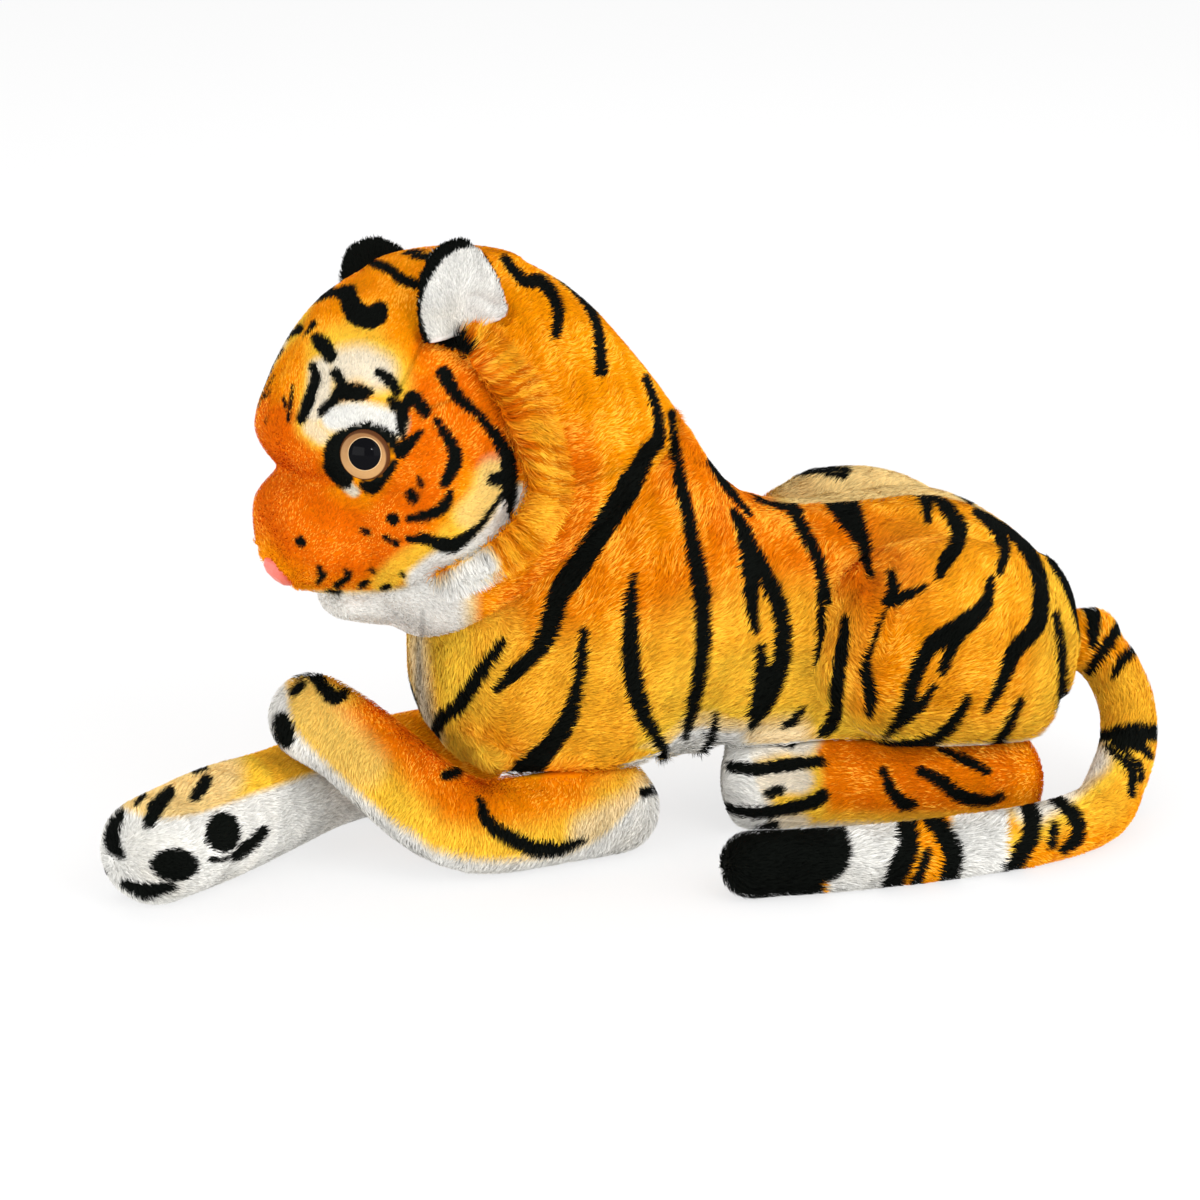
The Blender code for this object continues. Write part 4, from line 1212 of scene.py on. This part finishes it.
def ear_lie(root, out):
    """Out and up from the middle of the ear."""
    side = "left" if root[:, 1].mean() <= MIDDLE else "right"
    return (root - EAR_MIDDLE[side]) + EAR_LIFT


# How long the pile is: how far a blade lies along the skin, how high it stands, its width

TRUNK_PILE, TAIL_PILE = (0.0043, 0.0016, 0.00048), (0.0040, 0.0015, 0.00048)
NEAR_FRONT_PILE, FAR_FRONT_PILE = (0.0033, 0.0015, 0.00046), (0.0028, 0.0012, 0.00046)
HIND_PILE = (0.0030, 0.0013, 0.00046)
RUFF_PILE, EAR_PILE = (0.0068, 0.0026, 0.00055), (0.0022, 0.0008, 0.00040)
FACE_PILE, LONGER_BEHIND = (0.0017, 0.0007, 0.00040), (0.0017, 0.0009, 0.00008)


def even_shape(pile):
    """The same pile all over."""
    return lambda root: tuple(np.full(len(root), size) for size in pile)


def behind(root):
    """From 0 on the face to 1 behind it, and 0 round the eyes and the nose."""
    back = step(in_view(near_side(root, HEAD_LEFT))[:, 0], *FACE_BACK_ACROSS)
    for node in (*EYES, "nose"):
        back = back * step(away_from(root, node), 0.010, 0.02)
    return back


def head_shape(root):
    """Short smooth pile on the face, longer behind the ruff."""
    back = behind(root)
    return tuple(short + more * back for short, more in zip(FACE_PILE, LONGER_BEHIND))


# How deep the joined skin is sunk in its solids, so that its fur ends near their surface

JOINED_DEPTH, FACE_LESS, RIDGE_LESS = 0.0030, 0.0010, 0.0022
RIDGE_ALONG, RIDGE_UP = (0.080, 0.095), (0.100, 0.112)
RIDGE_ACROSS = (MIDDLE + 0.012, MIDDLE + 0.022)


def joined_sink(places):
    """Less on the face than behind it and on the body, and least on the far thigh's ridge."""
    face = (places - NECK) @ NECK_AXIS > 0
    ridge = step(places[:, 2], *RIDGE_UP) * step(places[:, 0], *RIDGE_ALONG)
    ridge = ridge * step(places[:, 1], *RIDGE_ACROSS)
    return JOINED_DEPTH - FACE_LESS * (1 - behind(places)) * face - RIDGE_LESS * ridge


# Making the pieces

MOVING = ("front_leg_left", "front_leg_right", "hind_leg_left", "hind_leg_right", "tail")
TRUNK_SOLIDS = ("body", "haunch_left", "haunch_right")
HEAD_SOLIDS = ("head", "muzzle", "chin")
NECK_RADIUS, NECK_CUT, NECK_BAND = 0.072, 0.006, 0.007


def split_at_neck(piece):
    """Parts the joined skin at the neck seam, and closes both sides."""
    mesh = bmesh.new()
    mesh.from_mesh(piece.data)
    start, axis = Vector(NECK), Vector(NECK_AXIS)

    def near_seam(place, band):
        return abs((place - start).dot(axis)) < band and (place - start).length < NECK_RADIUS

    near = [face for face in mesh.faces if near_seam(face.calc_center_median(), NECK_CUT)]
    edges = {edge for face in near for edge in face.edges}
    verts = {vert for face in near for vert in face.verts}
    bmesh.ops.bisect_plane(
        mesh, geom=[*near, *edges, *verts], plane_co=start, plane_no=axis, dist=1e-5
    )
    is_head = []
    for face in mesh.faces:
        middle = face.calc_center_median()
        if near_seam(middle, NECK_BAND):
            is_head.append((middle - start).dot(axis) > 0)
            continue
        to_head, to_trunk = (
            min(tree(node).find_nearest(middle)[3] for node in solids)
            for solids in (HEAD_SOLIDS, TRUNK_SOLIDS)
        )
        is_head.append(to_head < to_trunk)
    made = []
    for name, wanted in (("trunk_skin", False), ("head_skin", True)):
        part = mesh.copy()
        drop = [face for face, flag in zip(part.faces, is_head) if flag != wanted]
        bmesh.ops.delete(part, geom=drop, context="FACES")
        edges = [edge for edge in part.edges if edge.is_boundary]
        filled = bmesh.ops.holes_fill(part, edges=edges, sides=0)["faces"]
        bmesh.ops.triangulate(part, faces=filled)
        data = bpy.data.meshes.new(name)
        part.to_mesh(data)
        part.free()
        data.shade_smooth()
        made.append(bpy.data.objects.new(name, data))
    mesh.free()
    bpy.data.objects.remove(piece)
    for part in made:
        bpy.context.scene.collection.objects.link(part)
    return made


def soft_form(name, body, skin, coat, solids, furs):
    """A skin and its furs, ridden, marked and finished together.

    Each fur has its blades to a square millimetre, their shape, the way that they lie and
    the solids that they keep clear of.
    """
    dress(skin, coat)
    wear(skin, skin_finish, body)
    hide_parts(*solids)
    for index, (density, shape, lie, clear) in enumerate(furs):
        made = fur(
            f"{name}_fur" + (f"_{index + 1}" if len(furs) > 1 else ""),
            skin, coat, density, shape, lie, clear, seed=len(name) * 7 + index,
        )
        wear(made, fur_finish, body)


# The trunk and the head, made as one skin and parted at the neck seam

joined_skin = skin_of(
    "joined_skin", TRUNK_SOLIDS + HEAD_SOLIDS, voxel=0.0018, sink=joined_sink,
    touching=MOVING, smoothing=10, seats=(*EYES, "nose"),
)
trunk_skin, head_skin = split_at_neck(joined_skin)
press(trunk_skin, TRUNK_GROOVES, BODY_LEFT)
press(head_skin, HEAD_GROOVES, HEAD_LEFT)
soft_form(
    "trunk", "trunk", trunk_skin, trunk_coat, TRUNK_SOLIDS,
    [(0.55, even_shape(TRUNK_PILE), trunk_lie, MOVING)] * 4,
)
soft_form(
    "head", "head_body", head_skin, head_coat, HEAD_SOLIDS,
    [(0.72, head_shape, head_lie, (*EYES, "nose"))] * 3,
)

# The legs and the tail. Hair follows these routes: back up the front leg and the tail from
# their ends, and forward along the hind legs.

FAR_FRONT_ROUTE = (
    (-0.19, -0.025, 0.02), (-0.16, -0.01, 0.02), (-0.10, 0.035, 0.02), (-0.05, 0.06, 0.02),
    (0.0, 0.08, 0.02),
)
NEAR_HIND_ROUTE = ((0.17, -0.02, 0.02), (0.09, -0.015, 0.02), (0.02, -0.01, 0.02))
FAR_HIND_ROUTE = ((0.17, 0.065, 0.02), (0.09, 0.06, 0.02), (0.02, 0.055, 0.02))
TAIL_ROUTE = (
    (0.029, -0.086, 0.012), (0.070, -0.087, 0.012), (0.110, -0.081, 0.012),
    (0.150, -0.068, 0.012), (0.180, -0.049, 0.012), (0.200, -0.028, 0.016),
    (0.211, -0.013, 0.026), (0.215, 0.0, 0.037), (0.213, 0.012, 0.05), (0.205, 0.022, 0.06),
)
near_front_coat = limb_coat(
    LEFT_FRONT_STRIPES, LEFT_FRONT_WHITE, LEFT_FRONT_CREAM, LEFT_FRONT_DEEP, 0.35
)
LEGS = {
    "front_leg_left": (near_front_coat, 0.0022, NEAR_FRONT_PILE, down_leg),
    "front_leg_right": (right_front_coat, 0.0006, FAR_FRONT_PILE, along(FAR_FRONT_ROUTE)),
    "hind_leg_left": (hind_coat("left"), 0.0020, HIND_PILE, along(NEAR_HIND_ROUTE)),
    "hind_leg_right": (hind_coat("right"), 0.0020, HIND_PILE, along(FAR_HIND_ROUTE)),
}
for leg, (coat, sink, pile, lie) in LEGS.items():
    others = tuple(node for node in ("body", *MOVING, "chin") if node != leg)
    skin = skin_of(f"{leg}_skin", (leg,), voxel=0.0022, sink=sink, touching=others)
    soft_form(
        leg, f"{leg}_body", skin, coat, (leg,),
        [(1.7, even_shape(pile), lie, others)],
    )

tail_others = ("body", "haunch_left", "hind_leg_left")
tail_skin = skin_of("tail_skin", ("tail",), voxel=0.002, sink=0.0014, touching=tail_others)
soft_form(
    "tail", "tail_body", tail_skin, tail_coat, ("tail",),
    [(2.0, even_shape(TAIL_PILE), along(TAIL_ROUTE), tail_others)],
)

# The ruffs and the ears. The far ear is a little smaller, about its sewn edge.

FAR_EAR_ROOT = Vector((-0.0874, 0.0533, 0.2152))
FAR_EAR_SHARE = 0.86
for side in SIDES:
    name = f"ruff_{side}"
    ruff = skin_of(f"{name}_skin", (name,), voxel=0.0018, sink=0.0034, touching=("head",))
    soft_form(
        name, "head_body", ruff, ruff_coat, (name,),
        [(3.4, even_shape(RUFF_PILE), ruff_lie, ())],
    )
    name = f"ear_{side}"
    ear = skin_of(f"{name}_skin", (name,), voxel=0.0012, sink=0.0010, touching=("head",))
    if side == "left":
        press(ear, EAR_GROOVES, HEAD_LEFT)
    else:
        for corner in ear.data.vertices:
            corner.co = FAR_EAR_ROOT + (corner.co - FAR_EAR_ROOT) * FAR_EAR_SHARE
    soft_form(
        name, f"{name}_body", ear, ear_coat, (name,),
        [(4.0, even_shape(EAR_PILE), ear_lie, ("head",))],
    )


# Plastic eyes and nose


def axis_of(node, washer):
    """The middle line of a turned piece: a point on it, and its outward direction."""
    face, back = (
        np.array([vert.co for vert in nodes[name].data.vertices]).mean(0)
        for name in (node, washer)
    )
    return Vector(face), Vector(face - back).normalized()


IRIS_SHADED_ABOVE, IRIS_BELOW = (0.30, 0.145, 0.055), (0.56, 0.32, 0.13)
IRIS_INNER, IRIS_RIM, PUPIL = (0.74, 0.50, 0.26), (0.10, 0.035, 0.012), (0.002, 0.002, 0.003)
PUPIL_RADIUS, INNER_RADIUS, RIM_RADIUS = 0.0062, 0.0064, 0.0088


def eye_finish(name, middle, axis, lean):
    """Amber iris with painted shade above, fading to paler amber below, and black pupil, by
    distance from the eye's middle line.

    The pupil leans a little, as it does where it lies below a clear dome.
    """
    shader = Shader(name, Roughness=0.06, Specular_IOR_Level=0.06)
    away = shader.vector("SUBTRACT", shader.place(), tuple(middle))
    height = shader.vector("DOT_PRODUCT", away, (0, 0, 1), out="Value")

    def from_line(spot):
        reach = shader.vector("DOT_PRODUCT", spot, tuple(axis), out="Value")
        line = shader.vector("SCALE", tuple(axis))
        shader.tree.links.new(reach.socket, line.socket.node.inputs["Scale"])
        return shader.vector("LENGTH", shader.vector("SUBTRACT", spot, line), out="Value")

    edge = from_line(away)
    radius = from_line(shader.vector("SUBTRACT", away, tuple(lean)))
    fibres = shader.noise(700.0, 4.0) - 0.5
    # Painted shade on the iris's upper part, fading to a paler amber below
    lower = (0.5 - height * 60.0 + fibres * 0.35).clamped()
    iris = shader.mix(lower, IRIS_SHADED_ABOVE, IRIS_BELOW)
    inner = 1.0 - ((radius - INNER_RADIUS) * 5000.0).clamped()
    iris = shader.mix(inner, iris, IRIS_INNER)
    rim = ((edge - RIM_RADIUS) * 2500.0).clamped()
    iris = shader.mix(rim, iris, IRIS_RIM)
    pupil = 1.0 - ((radius - PUPIL_RADIUS) * 6000.0).clamped()
    shader.feed("Base Color", shader.mix(pupil, iris, PUPIL))
    return shader.material


DOME_SHARE, PUPIL_DEPTH_SHARE = 0.75, 0.75
SKIRT_SHARE, SKIRT_DEPTH = 0.96, 0.0004
DOME_STEPS = 56


def turned_eye(side):
    """A domed eye with a low rim, turned about its middle line."""
    node = f"eye_{side}"
    middle, axis = axis_of(node, f"{node}_washer")
    places = np.array([vert.co for vert in nodes[node].data.vertices]) - np.array(middle)
    level = places @ np.array(axis)
    radius = np.linalg.norm(places - np.outer(level, axis), axis=1)
    edge = radius.max()
    base = level[radius > edge * 0.98].min()
    height = (level.max() - base) * DOME_SHARE
    sight = BACK
    if side == "right":
        sight = near_side(NECK[None] - HEAD_LEFT[None], HEAD_LEFT, BACK[None])[0]
    sight = Vector(sight)
    lean = (sight / sight.dot(axis) - axis) * height * PUPIL_DEPTH_SHARE
    turns = (0.0, *np.linspace(0.12, math.pi / 2, 14))
    profile = [(edge * math.sin(turn), height * math.cos(turn)) for turn in turns]
    profile += [(edge * SKIRT_SHARE, -SKIRT_DEPTH), (0.0, -SKIRT_DEPTH)]
    mesh = bmesh.new()
    across = axis.orthogonal().normalized()
    start = middle + axis * base
    points = [mesh.verts.new(start + across * out + axis * up) for out, up in profile]
    lines = [mesh.edges.new(pair) for pair in zip(points, points[1:])]
    bmesh.ops.spin(
        mesh, geom=points + lines, cent=start, axis=axis, angle=2 * math.pi, steps=DOME_STEPS,
        use_merge=True,
    )
    bmesh.ops.remove_doubles(mesh, verts=mesh.verts, dist=1e-6)
    bmesh.ops.recalc_face_normals(mesh, faces=mesh.faces)
    data = bpy.data.meshes.new(f"{node}_dome")
    mesh.to_mesh(data)
    mesh.free()
    data.shade_smooth()
    eye = bpy.data.objects.new(f"{node}_dome", data)
    bpy.context.scene.collection.objects.link(eye)
    wear(eye, eye_finish(f"{node}_finish", middle, axis, lean), "head_body")
    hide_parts(node)


for side in SIDES:
    turned_eye(side)


def refinish(node, material):
    """Gives a solid that stays a better material."""
    nodes[node].data.materials.clear()
    nodes[node].data.materials.append(material)


CORAL, CORAL_SPECKLE = (0.72, 0.115, 0.085), (0.86, 0.20, 0.14)
nose_shader = Shader("coral_nose", Roughness=0.42, Coat_Weight=0.15, Coat_Roughness=0.3)
speckle = nose_shader.noise(420.0, 4.0)
nose_shader.feed("Base Color", nose_shader.mix(speckle, CORAL, CORAL_SPECKLE))
nose_shader.bump(speckle, 0.35, 0.0006)
refinish("nose", nose_shader.material)

WASHER_WHITE, WASHER_PALER = (0.80, 0.80, 0.77), (0.86, 0.86, 0.83)
washer_shader = Shader("washer_white", Roughness=0.5)
clouding = washer_shader.noise(60.0)
washer_shader.feed("Base Color", washer_shader.mix(clouding, WASHER_WHITE, WASHER_PALER))
for node in (*EYES, "nose"):
    refinish(f"{node}_washer", washer_shader.material)


# Floor: lit paper that glows a little, and more where the camera sees it

PAPER, PLAIN_WHITE = (0.93, 0.93, 0.93, 1), (1, 1, 1, 1)
FLOOR_SIZE, FLOOR_GLOW, SEEN_GLOW = 8, 0.35, 0.37
bpy.ops.mesh.primitive_plane_add(size=FLOOR_SIZE, location=(0, 0, 0))
floor = bpy.context.active_object
floor.name = "floor"
paper = Shader("floor_paper", Roughness=0.95, Base_Color=PAPER)
seen = paper.node("ShaderNodeLightPath", out="Is Camera Ray")
glow = paper.node("ShaderNodeEmission", {}, {"Color": PLAIN_WHITE, "Strength": 1.0})
both = paper.node(
    "ShaderNodeMixShader", {},
    {0: seen * SEEN_GLOW + FLOOR_GLOW, 1: Value(paper, paper.surface.outputs[0]), 2: glow},
)
paper.tree.links.new(both.socket, paper.tree.nodes["Material Output"].inputs["Surface"])
floor.data.materials.append(paper.material)

# World: even light, and plain white where the camera sees it

WORLD_LIGHT = 0.86
world = bpy.data.worlds.new("studio")
bpy.context.scene.world = world
world.use_nodes = True
studio = world.node_tree
even_light = studio.nodes["Background"]
even_light.inputs["Color"].default_value = PLAIN_WHITE
even_light.inputs["Strength"].default_value = WORLD_LIGHT
path = studio.nodes.new("ShaderNodeLightPath")
plain = studio.nodes.new("ShaderNodeBackground")
plain.inputs["Color"].default_value = PLAIN_WHITE
chosen = studio.nodes.new("ShaderNodeMixShader")
studio.links.new(path.outputs["Is Camera Ray"], chosen.inputs[0])
studio.links.new(even_light.outputs[0], chosen.inputs[1])
studio.links.new(plain.outputs[0], chosen.inputs[2])
studio.links.new(chosen.outputs[0], studio.nodes["World Output"].inputs["Surface"])

# Lamps: square soft lights that face the toy. Place and size in metres, then watts.

LAMPS = {
    "key_light": ((-0.29, -1.11, 0.46), 0.08, 1.2),
    "soft_light": ((0.5, -1.3, 1.3), 0.9, 7.3),
    "front_light": ((0.45, -1.7, 0.22), 1.4, 10),
    "fill_light": ((1.3, -0.9, 0.5), 1.2, 8),
    "chest_light": ((-1.3, -1.0, 0.14), 1.0, 8),
    "rim_light": ((-1.4, 0.3, 0.45), 1.0, 4),
    "back_light": ((0.4, 1.3, 1.2), 1.0, 4),
}
for name, (place, size, watts) in LAMPS.items():
    light = bpy.data.lights.new(name, "AREA")
    light.size, light.energy = size, watts
    lamp = bpy.data.objects.new(name, light)
    lamp.location = place
    lamp.rotation_euler = (Vector(place) - Vector(TARGET)).to_track_quat("Z", "Y").to_euler()
    bpy.context.scene.collection.objects.link(lamp)

# Camera, at the photograph's angle

camera_data = bpy.data.cameras.new("camera")
camera_data.lens, camera_data.sensor_width = LENS, SENSOR
camera = bpy.data.objects.new("camera", camera_data)
camera.location = TARGET + BACK * DISTANCE
camera.rotation_euler = Vector(BACK).to_track_quat("Z", "Y").to_euler()
bpy.context.scene.collection.objects.link(camera)
bpy.context.scene.camera = camera
bpy.context.scene.view_settings.view_transform = "Standard"
